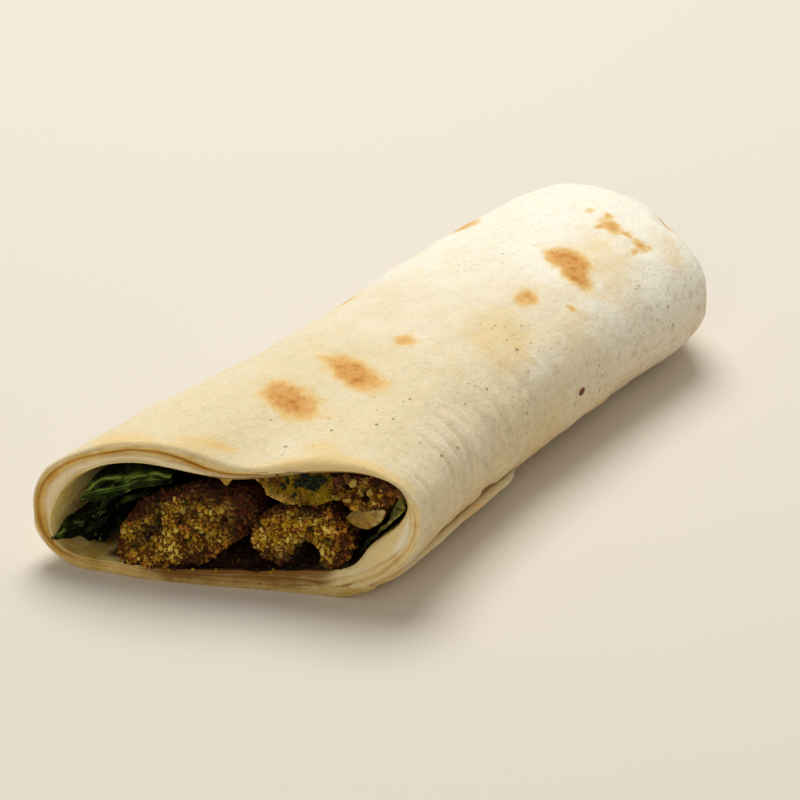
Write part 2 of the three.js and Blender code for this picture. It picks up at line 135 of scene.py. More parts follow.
def mouth_at(x):
    """1 at the cut's far corner, 0 in the body."""
    return 1 - smoothstep(x, MOUTH_START_X, MOUTH_START_X + MOUTH_LENGTH)


def skin(x, angle):
    """A point of the wrap's outside. Angle 0 is the left side and 90 degrees the top."""
    x, angle = np.broadcast_arrays(np.asarray(x, float), np.asarray(angle, float))
    mouth, tail = mouth_at(x), smoothstep(x, TAIL_FROM_X, TAIL_TO_X)
    here = Section(*(mix(a, b, mouth) for a, b in zip(BODY, MOUTH)))
    c, s = np.cos(angle), np.sin(angle)
    is_left, is_top = c >= 0, s >= 0
    height = here.height - tail
    widest = height * np.where(is_left, here.widest_left, here.widest_right)
    top_power = np.where(is_left, here.top_left, here.top_right)
    power = np.where(is_top, top_power, np.where(is_left, here.low_left, here.low_right))
    in_end = np.clip((x - (END_X - END_ROUND)) / END_ROUND, 0, 1)
    end_width, end_height = ((1 - in_end**bluntness) ** (1 / 2.4) for bluntness in (3.6, 3.4))
    side = np.where(is_left, here.left, here.right) * rounded_power(c, power) * end_width
    y = here.centre_y - TAIL_SHIFT * tail + side
    reach = np.where(is_top, height - widest, widest + here.under)
    axis_z = END_AXIS * height
    z = axis_z + (widest + reach * rounded_power(s, power) - axis_z) * end_height
    z = z - DIP * mouth * bell(side - DIP_Y, DIP_WIDTH) * np.maximum(s, 0)
    skew = SKEW * (y - BODY.centre_y) * smoothstep(x, SKEW_FROM_X, SKEW_TO_X)
    return stacked(x + skew, y, np.maximum(z, 0))


def skin_normal(x, angle):
    round_it = skin(x, angle + 0.01) - skin(x, angle - 0.01)
    along_it = skin(x + 0.05, angle) - skin(x - 0.05, angle)
    out = np.cross(round_it, along_it)
    return out / np.maximum(np.linalg.norm(out, axis=-1, keepdims=True), 1e-9)


def cut_station(angle):
    """Where along the wrap the askew cut meets the outside at an angle."""
    x = np.full_like(angle, CUT_POINT[0])
    for _ in range(12):
        x = CUT_POINT[0] - (skin(x, angle)[..., 1] - CUT_POINT[1]) * math.tan(CUT_YAW)
    return x


def distance_along(points):
    return np.cumsum(np.linalg.norm(np.diff(points, axis=0, prepend=points[:1]), axis=1))


def read_off(at, known, values):
    """The rows of values that belong at some places between the known ones."""
    return stacked(*(np.interp(at, known, column) for column in values.T))


def curve_through(places, count, closed=False):
    """A smooth curve through places (centripetal Catmull-Rom), its points evenly spaced."""
    p = np.array(places, float)
    before, after = (p[-1:], p[:2]) if closed else (2 * p[:1] - p[1:2], 2 * p[-1:] - p[-2:-1])
    ring = np.concatenate([before, p, after])
    spans = []
    for a, b, c, d in zip(ring[:-3], ring[1:-2], ring[2:-1], ring[3:]):
        t = np.cumsum([0.0] + [np.linalg.norm(v) ** 0.5 for v in (b - a, c - b, d - c)])
        s = np.linspace(t[1], t[2], SPAN_SAMPLES, endpoint=False)[:, None]

        def blend(start, stop, i, j):
            return start + (stop - start) * (s - t[i]) / (t[j] - t[i])

        bc = blend(b, c, 1, 2)
        spans.append(blend(blend(blend(a, b, 0, 1), bc, 0, 2), blend(bc, blend(c, d, 2, 3), 1, 3), 1, 2))
    fine = np.concatenate(spans + [p[:1] if closed else p[-1:]])
    length = distance_along(fine)
    return read_off(np.linspace(0, length[-1], count, endpoint=not closed), length, fine)


# On the cut a place is given by across, to the right, and up. Deeper in, the space narrows with the skin,
# so pieces that are clear at the cut stay clear.
INSIDE_LENGTH, INSIDE_ACROSS, INSIDE_Y = 140.0, -6.8, -4.9
INSIDE_WIDTH_SHARE, INSIDE_HEIGHT_SHARE, INSIDE_FLOOR = 0.655, 0.88, 3.3
RIGHT_SINK, RIGHT_EDGE = 4.0, 30.0


def at_cut(place):
    return CUT_POINT + place[..., :1] * CUT_RIGHT + place[..., 1:] * UP


def on_cut(points):
    """The opposite of at_cut: across and up."""
    return stacked((points - CUT_POINT) @ CUT_RIGHT, points[..., 2])


def with_third(place, third):
    """Places on the cut with a third number, to read lumps at."""
    return stacked(place[..., 0], place[..., 1], third)


def bow_at(place, behind=0.0):
    middle = bell(place[..., 0] - BOW_ACROSS, BOW_WIDTH)
    low = 1 - smoothstep(place[..., 1], BOW_FROM, BOW_TO)
    return BOW * middle * low * (1 - smoothstep(behind, 0, BOW_DEEP))


def inside(place, depth):
    """Where a place on the cut comes to lie at a depth in the wrap."""
    start = at_cut(place)
    x = mix(start[..., 0], END_X - END_WALL, depth / INSIDE_LENGTH)
    settled = 1 - mouth_at(x) / mouth_at(start[..., 0])
    body_y = INSIDE_Y - (place[..., 0] - INSIDE_ACROSS) * INSIDE_WIDTH_SHARE
    sink = RIGHT_SINK * smoothstep(place[..., 0], 0, RIGHT_EDGE)
    body_z = INSIDE_FLOOR + place[..., 1] * INSIDE_HEIGHT_SHARE - sink
    return stacked(x, mix(start[..., 1], body_y, settled), mix(place[..., 1], body_z, settled))


# The inner face of the bread at the cut, from the left side over the top.
INNER_OUTLINE = [
    (-42.9, 9), (-41.2, 15), (-37.6, 20), (-31.6, 23.7), (-24, 25.3), (-12, 24.4), (-6, 24), (2, 25.4),
    (12, 27.9), (22, 28.8), (28.2, 26.8), (30.2, 22.8), (28.6, 18.6), (23, 13), (18.8, 7.4), (8, 5.2),
    (-8, 3.7), (-24, 2.9), (-38, 3.0), (-42, 5.2),
]
INNER_POINTS = 1200
SMOOTHED_OVER = 9  # ring points to each side
STUB_ACROSS, STUB_HALF_WIDTH, STUB_DROP, STUB_DEEP = -6.8, 0.9, 2.0, 2.6  # a shred left by the knife


def ring_angles():
    """Angles whose places along the cut's rim are evenly spaced."""
    fine = np.linspace(0, 2 * math.pi, RIM_SAMPLES)
    length = distance_along(skin(cut_station(fine), fine))
    return np.interp(np.linspace(0, length[-1], RING, endpoint=False), length, fine)


def facing_inner(rim):
    """For each place on the rim, the place on the inner outline that faces it through the bread."""
    outline = curve_through(INNER_OUTLINE, INNER_POINTS, closed=True)
    nearest = gap(rim[:, None], outline[None]).argmin(axis=1)
    turn = np.unwrap(nearest / INNER_POINTS * 2 * math.pi)
    steady = turn - np.sign(turn[-1] - turn[0]) * np.arange(RING) / RING * 2 * math.pi
    wrapped = np.concatenate([steady[-SMOOTHED_OVER:], steady, steady[:SMOOTHED_OVER]])
    window = 2 * SMOOTHED_OVER + 1
    turn = np.convolve(wrapped, np.ones(window) / window, "valid") + (turn - steady)
    thrice = np.resize(outline, (3 * INNER_POINTS + 1, 2))
    known = np.arange(-INNER_POINTS, 2 * INNER_POINTS + 1)
    return read_off(turn / (2 * math.pi) * INNER_POINTS, known, thrice)


angles = ring_angles()
degrees = np.degrees(angles)
from_below = (degrees + 90) % 360  # 0 under the wrap, 90 on its left and 180 at its top
cut_x = cut_station(angles)
rim = skin(cut_x, angles)
rim_flat = on_cut(rim)
inner_flat = facing_inner(rim_flat)
wall = gap(inner_flat, rim_flat)
inward_flat = (inner_flat - rim_flat) / wall[:, None]
inward = inward_flat[:, :1] * CUT_RIGHT + inward_flat[:, 1:] * UP

# Stations along the outside, from the tucked tip to the cut.
END_STATIONS, BODY_STATIONS = 44, 200
EDGE_STATIONS = [2.4, 1.9, 1.5, 1.15, 0.85, 0.6, 0.4, 0.25, 0.12, 0.0]
straight_end = END_X - END_ROUND
turns = np.linspace(0.992, 0, END_STATIONS) * math.pi / 2
end_x = (straight_end + END_ROUND * np.sin(turns) ** 0.8)[:, None] * np.ones(RING)
body_x = mix(straight_end, cut_x + 3.0, np.linspace(0, 1, BODY_STATIONS + 1)[1:, None])
outer_x = np.concatenate([end_x, body_x, cut_x + np.array(EDGE_STATIONS)[:, None]])
outer = skin(outer_x, angles)
normal = skin_normal(outer_x, angles)

# The distance round the skin from the middle of the top, positive to the left.
steps = gap(np.roll(outer, -1, axis=1), outer)
girth = steps.sum(1, keepdims=True)
travelled = np.cumsum(steps, axis=1) - steps
top = int(np.abs(angles - math.pi / 2).argmin())
arc = travelled[:, top : top + 1] - travelled
arc = np.where(arc < -girth / 2, arc + girth, arc)

# Relief of the skin: soft waves, puckers down the right side by the cut, long folds and fine crinkles.
WAVES = [(0.45, 19, 3), (0.24, 7, 4), (0.1, 2.6, 5)]  # the height, size and seed of each
PUCKER, PUCKER_CREASE, LONG_FOLD, CRINKLE = 0.42, 0.55, 0.16, 0.14
right_side = between(degrees, 142, 236, 20)
by_the_cut = 1 - 0.75 * smoothstep(outer_x, -20, 30)
pucker_at = stacked(outer_x + 0.2 * outer[..., 2], arc * 0.08, 0)
puckers = PUCKER * lumps(pucker_at, 3.6, 6) - PUCKER_CREASE * bell(lumps(pucker_at, 3.8, 31), 0.2)
crinkles = bell(lumps(outer, 6.5, 32), 0.16) * smoothstep(lumps(outer, 14, 33), -0.1, 0.6)
relief = uneven(outer, *WAVES)
relief += right_side * by_the_cut * puckers * (0.7 + 0.5 * lumps(outer, 9, 29))
relief += LONG_FOLD * lumps(stacked(outer_x * 0.12, arc, 0), 5, 7) - CRINKLE * crinkles

# The folded border near the tucked end.
BORDER_X, BORDER_STEP, BORDER_RISE = 70.5, 0.9, 0.8
border_wave = 1.6 * lumps(stacked(arc, 0, 0), 9, 8)
past_border = smoothstep(outer_x + border_wave, BORDER_X, BORDER_X + BORDER_RISE)
relief -= BORDER_STEP * past_border * between(degrees, 120, 214, 14)

# The spiral crease of the tucked end, with a swell inside each lap.
TUCK_TURNS, TUCK_START, TUCK_INNER, TUCK_OUTER = 1.6, 0.6, 3.0, 17.0
TUCK_WIDE, TUCK_TALL, TUCK_Z = 1.15, 0.72, 14.0
CREASE, CREASE_WIDTH, SWELL, SWELL_WIDTH, SWELL_IN = 2.4, 0.75, 0.35, 2.2, 3.2
tuck_y = (outer[..., 1] - BODY.centre_y + TAIL_SHIFT) / TUCK_WIDE
tuck_z = (outer[..., 2] - TUCK_Z) / TUCK_TALL
tuck = np.zeros_like(arc)
for lap in range(-1, 3):
    share = np.arctan2(tuck_z, tuck_y) - TUCK_START + lap * 2 * math.pi
    share = share / (TUCK_TURNS * 2 * math.pi)
    from_line = np.hypot(tuck_y, tuck_z) - mix(TUCK_INNER, TUCK_OUTER, share)
    on_line = between(share, 0.02, 0.98, 0.04)
    tuck = np.minimum(tuck, -CREASE * bell(from_line, CREASE_WIDTH) * on_line)
    tuck = tuck + SWELL * bell(from_line + SWELL_IN, SWELL_WIDTH) * on_line
relief += tuck * smoothstep(outer_x, 70, 77)
outer = outer + normal * relief[..., None]

# The cut edge: crisp where the knife went in, softer on the left, and rolled inwards on the top right.
CRISP_RADIUS, CURLED_RADIUS, SOFTER_BY = 0.5, 2.3, 0.45
CRISP_MOST, CURLED_MOST = 0.4, 0.82  # shares of the wall that the edge may take up
curl = between(degrees, 106, 154, 14)
soft_left = between(from_below, 70, 190, 18)
edge_radius = mix(CRISP_RADIUS, CURLED_RADIUS, curl) + SOFTER_BY * soft_left
edge_radius = np.minimum(edge_radius, mix(CRISP_MOST, CURLED_MOST, curl) * wall)
behind = np.clip(outer_x - cut_x, 0, None)
inset = edge_radius - np.sqrt(np.maximum(edge_radius**2 - np.maximum(edge_radius - behind, 0) ** 2, 0))
outer = outer + inward * (inset * (behind < edge_radius))[..., None]
outer = outer + CUT_OUT * bow_at(rim_flat, behind)[..., None]
outer[..., 2] = np.maximum(outer[..., 2], 0)

# The cut layers. Two lines part the turns of bread; by the angle round the rim they lie this deep in the
# wall and are this open. They close where the turns have baked together.
LINE_ANGLES = [0, 40, 66, 84, 96, 112, 150, 178, 196, 214, 240, 262, 300, 330]
FIRST_DEPTH = [1.7, 1.7, 1.8, 2.5, 3.2, 1.9, 1.4, 1.1, 1.2, 1.6, 1.7, 1.7, 1.7, 1.7]
FIRST_OPEN = [0.34, 0.3, 0.35, 0.7, 0.5, 0, 0, 0.15, 0.3, 0.45, 0.5, 0.3, 0.3, 0.36]
SECOND_DEPTH = [3.3, 3.2, 3.1, 3.4, 3.8, 2.6, 2.0, 2.0, 2.6, 3.3, 3.5, 3.2, 3.1, 3.2]
SECOND_OPEN = [0.1, 0.3, 0.55, 0.6, 0.2, 0, 0, 0.1, 0.3, 0.5, 0.35, 0.15, 0, 0]
LAYER_SAMPLES = [0, 0.07, 0.17, 0.32, 0.5, 0.68, 0.83, 0.93]
GROOVE_DEPTH, GROOVE_HALF_WIDTH, PUFF = 1.3, 0.22, 0.3
TURN_SHIFT, LEFT_TURN_STEP = 0.5, 0.35  # how far the turns stand behind each other
INNER_RADIUS, INNER_MOST = 0.45, 0.12  # the inner edge, and the share of the wall it may take up
LAYER_PALENESS = [0.6, 0.85, 1.0]  # the inner turns are softer and paler
TOASTED_LINE = 0.7  # half width of the golden band between the outer two turns, up the left


def round_the_rim(values):
    return np.interp(degrees, LINE_ANGLES, values, period=360)


inner_radius = np.minimum(INNER_RADIUS, INNER_MOST * wall)
room = wall - inner_radius - edge_radius
rim_noise = 0.2 * lumps(with_third(rim_flat, 0), 6, 9)
first = round_the_rim(FIRST_DEPTH) + rim_noise
first = np.clip(first, edge_radius + 0.2 * room, wall - inner_radius - 0.4 * room)
second = round_the_rim(SECOND_DEPTH) - rim_noise
second = np.clip(second, first + 0.15 * room, wall - inner_radius - 0.15 * room)
lines = [edge_radius, first, second, wall - inner_radius]
parted = np.clip(0.75 + 0.7 * lumps(with_third(rim_flat, 4), 7, 10), 0.1, 1)
opening = [0 * wall, parted * round_the_rim(FIRST_OPEN), parted * round_the_rim(SECOND_OPEN), 0 * wall]
toasted_line_share = 0.12 + 0.88 * between(from_below, 55, 195, 30)
ridge_highlight = np.clip(0.5 + 0.9 * lumps(with_third(rim_flat, 9), 4, 28), 0, 1)
ridge_highlight = 0.36 * ridge_highlight * between(degrees, 190, 228, 14)  # a painted highlight, white, on the ridge where the inner turn stands up
# On the right the cut layers are paler and their lines fainter: partly paler dough, partly painted
# highlights.
right_rim = between(degrees, 150, 235, 20)
left_rim = between(from_below, 45, 112, 25)  # there the golden band is broad and its line faint
wall_rows, line_rows, turn_rows, gilt_rows = [], [], [], []
for layer in range(3):
    shift = TURN_SHIFT * lumps(with_third(rim_flat, 9 * layer), 8, 12)
    shift = shift + LEFT_TURN_STEP * layer * between(from_below, 20, 150, 25)
    for sample in LAYER_SAMPLES + [1.0] * (layer == 2):
        place = mix(lines[layer], lines[layer + 1], sample)
        grooves = [opening[k] * bell(place - lines[k], GROOVE_HALF_WIDTH) for k in (layer, layer + 1)]
        groove = np.maximum(*grooves)
        step = shift * (1 if 0 < sample < 1 else 0.5) * smoothstep(place, edge_radius, edge_radius + 0.6)
        row = rim + inward * place[:, None]
        depth = GROOVE_DEPTH * groove - PUFF * math.sin(math.pi * sample) + step
        depth = depth + uneven(row, (0.14, 1.1, 13), (0.1, 2.3, 14))
        depth = depth * smoothstep(place, edge_radius - 0.01, edge_radius + 0.3)
        depth = depth - bow_at(rim_flat + inward_flat * place[:, None])
        wall_rows.append(row - CUT_OUT * depth[:, None])
        line_rows.append(groove * (1 - 0.4 * right_rim - 0.65 * left_rim))
        from_band = place - lines[1] - 0.4 * left_rim
        gilt_rows.append(toasted_line_share * bell(from_band, TOASTED_LINE + 0.5 * left_rim))
        # How much paler each turn is: on the right partly paler dough and partly painted highlight; on the
        # left a painted highlight along the outer edge, and a whiter inner turn.
        paler = (0.5, 0.25, 0.1)[layer] * right_rim + (0.55 * (1 - sample), 0, 0.2)[layer] * soft_left
        turn_rows.append(LAYER_PALENESS[layer] + paler + ridge_highlight * bell(place - lines[2] - 0.5, 0.7))

# The inner face, from the cut to the end of the pocket. Above and below where the filling touches, the bread
# is darker: partly grease, partly painted shade; on the left, deeper in, it is painted with shade.
INNER_DEPTHS = [0.8, 1.3, 2, 3, 4.2, 5.6, 7.2, 9, 11, 13.5, 16.5, 20, 24, 30, 38, 50, 65, 80, 95, 110]
INNER_DEPTHS += [124, 133, 138, 142]
SOILED_FROM, SOILED_TO, SOILED_BELOW = -31.0, 21.0, 9.0  # where falafel rubs off on the bread
POCKET_MIDDLE, POCKET_CLOSES, RIPPLE = np.array([-6.0, 15.0]), 0.3, 0.3
in_top_half = inner_flat[:, 1] > 15
stub_share = bell(inner_flat[:, 0] - STUB_ACROSS, STUB_HALF_WIDTH) * in_top_half
under_filling = between(rim_flat[:, 0], -18, 12, 9) * (rim_flat[:, 1] < 9) * between(degrees, 181, 359, 1)
over_filling = 0.8 * between(inner_flat[:, 0], -8, 27, 4) * (inner_flat[:, 1] > 20)
# The cut layers are darker where the filling lies on them: partly grease, partly painted shade.
greased_and_shaded = []
for low_share, top_share in ((0.55, 0.0), (0.8, 0.35), (1.0, 1.0)):
    for sample in LAYER_SAMPLES:
        row = under_filling * low_share + over_filling * top_share * sample
        greased_and_shaded.append(row * (0.4 + 0.6 * sample))
greased_and_shaded.append(under_filling + over_filling)
# Where falafel rubs off on the inner face: a stain.
soiled = between(inner_flat[:, 0], SOILED_FROM, SOILED_TO, 4) * (inner_flat[:, 1] < SOILED_BELOW)
inner_rows, stained_and_shaded_rows = [], []
for turn in np.radians([30, 60, 90]):
    place = lines[3] + (wall - lines[3]) * math.sin(turn)
    last_depth = inner_radius * (1 - math.cos(turn)) - bow_at(inner_flat)
    inner_rows.append(rim + inward * place[:, None] - CUT_OUT * last_depth[:, None])
    stained_and_shaded_rows.append(under_filling + over_filling)
for depth in INNER_DEPTHS:
    behind_cut = depth - bow_at(inner_flat, depth)
    shrink = 1 - POCKET_CLOSES * smoothstep(behind_cut / INSIDE_LENGTH, 0.93, 1.04)
    place = mix(POCKET_MIDDLE, inner_flat, shrink[:, None])
    ripple = RIPPLE * lumps(with_third(place, depth), 5, 15) * smoothstep(depth, 0, 3)
    stub = STUB_DROP * stub_share * (1 - smoothstep(depth, 0.5, STUB_DEEP))
    inner_rows.append(inside(place + inward_flat * (ripple + stub)[:, None], behind_cut))
    # Painted shade on the inner face at the left, deeper in.
    shaded = 0.5 * (inner_flat[:, 0] < -30) * smoothstep(depth, 1, 7)
    stained_and_shaded_rows.append(np.maximum(soiled * smoothstep(depth, 0.3, 3), shaded))

shell = np.concatenate([outer, np.array(wall_rows), np.array(inner_rows)])
shell[..., 2] = np.maximum(shell[..., 2], 0)

# Marks of the hot plate: place along the wrap, distance round it from the top, half length, half width,
# turn in degrees from the wrap's length, and strength.
TOASTED = [
    (36.8, -11.2, 5.6, 4.2, 80, 1), (33.8, -15.4, 4.4, 3.2, 60, 1), (57, -8.8, 3.6, 2.4, 60, 0.74),
    (60.4, -5.9, 2, 1, 45, 0.7), (54.6, -7.4, 1.7, 1, 0, 0.66), (56.8, -13.2, 1.8, 1.2, 86, 0.55),
    (56.6, -17.2, 2.8, 1.7, 70, 0.72), (53, -18, 2, 0.9, 10, 0.62), (58.4, -18.8, 1.6, 1, 60, 0.62),
    (59.6, -1.1, 1.7, 1.4, 0, 0.46), (17.8, -13, 3.6, 2.5, 12, 0.7), (23.5, -21.3, 1.4, 1, 70, 0.58),
    (-14.4, -4.4, 3, 2.2, 74, 0.64), (-30.1, -2.9, 10, 3.6, 74, 0.98), (-44.4, 1.6, 8.2, 4.4, 76, 0.95),
    (74.8, -13.8, 3.4, 1.3, 86, 0.8), (-64.6, 3.6, 5.5, 0.8, -65, 0.36), (2, 27.5, 8, 4.6, 20, 0.8),
    (44, 24, 6, 5, 60, 0.75), (-38, 36, 9, 5, 15, 0.7), (-4, 62, 10, 6, 40, 0.8), (36, 58, 7, 5, 10, 0.8),
    (-30, -66, 9, 6, 30, 0.8), (62, 38, 4, 3, 0, 0.6),
]
YELLOWED = [
    (1.4, -18, 12, 9, 40, 0.6), (-12, -14, 9, 7, 20, 0.35), (20, -24, 9, 6, 10, 0.35),
    (-65.6, 5.6, 7.5, 1.5, -65, 1), (-69.4, 8.4, 5.5, 1.1, -65, 0.8), (-67, 6.5, 9, 5.5, -65, 0.5),
    (-74, 20, 5, 12, 0, 0.75), (-55.7, -17, 4, 6, 0, 0.7), (42, -16, 18, 11, 20, 0.5),
    (62, -22, 9, 6, 60, 0.45), (4, -40, 10, 6, 0, 0.3), (24, -47, 8, 5, 0, 0.4),
]
BURNT = [
    (14.8, -38.7, 1.3, 0.95, 10, 1.2), (1.9, -22.3, 0.9, 0.6, 20, 0.75), (26.6, -46.7, 1.4, 0.9, 0, 0.5),
    (-8, -30.5, 0.6, 0.5, 0, 0.6), (-20.5, -24, 0.6, 0.4, 0, 0.55),
]
SPECKLED = [
    (-34, -25, 16, 13, 0, 1), (-52, -8, 9, 10, 0, 0.9), (-5, -25, 18, 14, 0, 0.9),
    (42, -36, 24, 12, 0, 0.8), (30, 4, 26, 14, 0, 0.45), (5, -44, 30, 8, 0, 0.6),
]


def out_of_ellipse(run, rise, half_length, half_width, turn):
    """The distance from a turned ellipse's middle, 1 on its edge."""
    c, s = math.cos(math.radians(turn)), math.sin(math.radians(turn))
    return np.hypot((run * c + rise * s) / half_length, (rise * c - run * s) / half_width)


def marked(marks):
    """How strongly each point of the outside is marked."""
    strength = np.zeros_like(arc)
    for x, round_top, *ellipse, most in marks:
        apart = out_of_ellipse(outer_x - x, arc - round_top, *ellipse)
        strength = np.maximum(strength, most * np.exp(-(apart**2.6) * 0.9))
    return strength


def zone(on_outside, on_wall, on_inside):
    """One number for each point of the shell, from its three stretches."""
    lengths = (len(outer), len(wall_rows), len(inner_rows))
    stretches = zip((on_outside, on_wall, on_inside), lengths)
    return np.concatenate([np.broadcast_to(values, (rows, RING)) for values, rows in stretches])


past_the_cut = np.exp(-np.arange(len(inner_rows)) / 1.5)[:, None]
# Low on the right side the skin is a warmer tan: partly the dough's own tone, partly painted warm light
# bounced up from the table.
near_the_table = (1 - smoothstep(outer[..., 2], 6, 22)) * smoothstep(-np.abs(degrees - 190), -60, -30)
on_the_side = (1 - smoothstep(outer[..., 2], 14, 32)) * mix(1, 0.4, smoothstep(arc, 0, 30))
curled_band = between(degrees, 112, 140, 34) * (1 - smoothstep(behind + 1.2 * lumps(outer, 4, 35), 0.5, 5))
bread_zones = {
    "toasted": zone(marked(TOASTED), 0, 0),
    "yellowed": zone(np.maximum(marked(YELLOWED), curled_band), 0, 0),
    "burnt": zone(marked(BURNT), 0, 0),
    "speckled": zone(marked(SPECKLED), 0, 0),
    "cut_face": zone((1 - smoothstep(behind, 0, 0.5)) * (1 - curl), 1, past_the_cut),
    "layer_line": zone(0, np.maximum(line_rows, 0.8 * between(degrees, 106, 138, 12)), 0),
    # paler inner turns, with painted highlights on the rim's right, its outer left edge and a ridge
    "pale_turn": zone(turn_rows[0], turn_rows, 1),
    "gilt": zone(0, gilt_rows, np.minimum(2.2 * stub_share, 1)),
    "low_side": zone(near_the_table, 0, 0),
    "side": zone(on_the_side, 0, 0),
    # paler towards the tucked end: painted light there, and painted shade by the cut
    "floury": zone(smoothstep(outer_x + 0.5 * arc, -45, 72), 0, 0),
    "inner_face": zone(0, 0, 1),
    # darker where the filling lies: partly stain and grease, partly painted shade
    "soiled": zone(0, greased_and_shaded, stained_and_shaded_rows),
}


def tube_faces(rows, columns):
    """Quads between closed rows of points, and triangles to a middle point at each end."""
    i, j = np.meshgrid(np.arange(rows - 1), np.arange(columns), indexing="ij")
    k = (j + 1) % columns
    quads = np.stack([i * columns + j, i * columns + k, (i + 1) * columns + k, (i + 1) * columns + j], -1)
    middle, last_ring = rows * columns, (rows - 1) * columns
    ring = [(j, (j + 1) % columns) for j in range(columns)]
    first = [(middle, b, a) for a, b in ring]
    last = [(middle + 1, last_ring + a, last_ring + b) for a, b in ring]
    return [tuple(q) for q in quads.reshape(-1, 4).tolist()] + first + last


def tube(rings, zones):
    """Closed rings of points as a part with both ends shut. A zone's rows may be single numbers."""
    rows, columns = rings.shape[:2]
    points = np.concatenate([rings.reshape(-1, 3), rings[:1].mean(1), rings[-1:].mean(1)])
    held = {}
    for key, given in zones.items():
        given = [given] * rows if np.isscalar(given) else given
        grid = np.stack([np.broadcast_to(row, columns) for row in given])
        held[key] = np.concatenate([grid.ravel(), [grid[0].mean(), grid[-1].mean()]])
    return points, tube_faces(rows, columns), held


def new_piece(name, parts):
    """A smooth-shaded mesh of closed parts, given in millimetres, with its faces turned outwards."""
    faces, start = [], 0
    for points, part_faces, _ in parts:
        faces += [tuple(v + start for v in face) for face in part_faces]
        start += len(points)
    points = np.concatenate([part[0] for part in parts]) / 1000
    triangles = np.array([(f[0], f[k], f[k + 1]) for f in faces for k in range(1, len(f) - 1)])
    a, b, c = points[triangles.T]
    if np.einsum("ij,ij->i", a, np.cross(b, c)).sum() < 0:
        faces = [face[::-1] for face in faces]
    mesh = bpy.data.meshes.new(name)
    mesh.from_pydata(points.tolist(), [], faces)
    mesh.shade_smooth()
    for key in parts[0][2]:
        held = mesh.attributes.new(key, "FLOAT", "POINT")
        held.data.foreach_set("value", np.concatenate([part[2][key] for part in parts]).astype(np.float32))
    piece = bpy.data.objects.new(name, mesh)
    bpy.context.scene.collection.objects.link(piece)
    return piece


def settle(piece, material, node=None):
    """The finished piece gets its material, and takes its CAD node's place if it has one."""
    piece.data.materials.clear()
    piece.data.materials.append(material)
    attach(piece, "root")
    if node:
        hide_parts(node)


def paint(colour):
    """A colour from its usual 0 to 255 numbers. An amount stays as it is."""
    if isinstance(colour, Amount):
        return colour
    return tuple((v / 255) ** 2.2 for v in colour) + (1.0,)


class Amount:
    """A node's output: a number or colour at each point, to add, multiply, ramp and feed to others."""

    def __init__(self, tree, kind, feeds, output=0, **settings):
        """A node with its settings and its inputs: numbers, colours, amounts or a list of amounts."""
        made = tree.nodes.new(kind)
        for key, value in settings.items():
            setattr(made, key, value)
        for key, value in feeds.items():
            for one in value if isinstance(value, list) else [value]:
                if isinstance(one, Amount):
                    tree.links.new(one.socket, made.inputs[key])
                else:
                    made.inputs[key].default_value = one
        self.tree = tree
        self.socket = made.outputs[output]

    def math(self, other, operation):
        return Amount(self.tree, "ShaderNodeMath", {0: self, 1: other}, operation=operation)

    def __add__(self, other):
        return self.math(other, "ADD")

    def __sub__(self, other):
        return self.math(other, "SUBTRACT")

    def __mul__(self, other):
        return self.math(other, "MULTIPLY")

    def ramp(self, low, high, to_low=0.0, to_high=1.0):
        feeds = {"Value": self, "From Min": low, "From Max": high, "To Min": to_low, "To Max": to_high}
        return Amount(self.tree, "ShaderNodeMapRange", feeds, interpolation_type="SMOOTHSTEP")


def painted(colour, *layers):
    """A colour with others laid over it, each by its share."""
    for share, over in layers:
        feeds = {"Factor": share, 6: paint(colour), 7: paint(over)}
        colour = Amount(share.tree, "ShaderNodeMix", feeds, 2, data_type="RGBA")
    return colour


class Finish:
    """A material under way: its node tree, and its shader with the constant sockets set."""

    def __init__(self, name, roughness, specular, subsurface=0.0, scale=0.001, coat=0.0):
        self.material = bpy.data.materials.new(name)
        self.material.use_nodes = True
        self.tree = self.material.node_tree
        self.sockets = self.tree.nodes["Principled BSDF"].inputs
        constants = {"Roughness": roughness, "Specular IOR Level": specular, "Coat Weight": coat}
        constants |= {"Subsurface Weight": subsurface, "Subsurface Scale": scale}
        constants |= {"Subsurface Radius": (1.0, 0.7, 0.4), "Coat Roughness": 0.25}
        for socket, value in constants.items():
            self.sockets[socket].default_value = value

    def zone(self, name):
        return Amount(self.tree, "ShaderNodeAttribute", {}, "Fac", attribute_name=name)

    def grain(self, size, detail=3.0, roughness=0.55, stretch=(1, 1, 1)):
        """Noise from 0 to 1 with one blotch for each size in millimetres, on Object coordinates."""
        place = Amount(self.tree, "ShaderNodeTexCoord", {}, "Object")
        scale = tuple(1000 / size / s for s in stretch)
        place = Amount(self.tree, "ShaderNodeMapping", {"Vector": place, "Scale": scale})
        feeds = {"Vector": place, "Scale": 1.0, "Detail": detail, "Roughness": roughness}
        return Amount(self.tree, "ShaderNodeTexNoise", feeds)

    def cells(self, size, output="Distance"):
        """Round cells, one for each size in millimetres."""
        place = Amount(self.tree, "ShaderNodeTexCoord", {}, "Object")
        return Amount(self.tree, "ShaderNodeTexVoronoi", {"Vector": place, "Scale": 1000 / size}, output)

    def done(self, colour, height, distance):
        """The material in a colour, with a fine relief: its height from 0 to 1 over a distance."""
        feeds = {"Height": height, "Distance": distance / 1000, "Strength": 1.0}
        relief = Amount(self.tree, "ShaderNodeBump", feeds)
        self.tree.links.new(colour.socket, self.sockets["Base Color"])
        self.tree.links.new(relief.socket, self.sockets["Normal"])
        return self.material


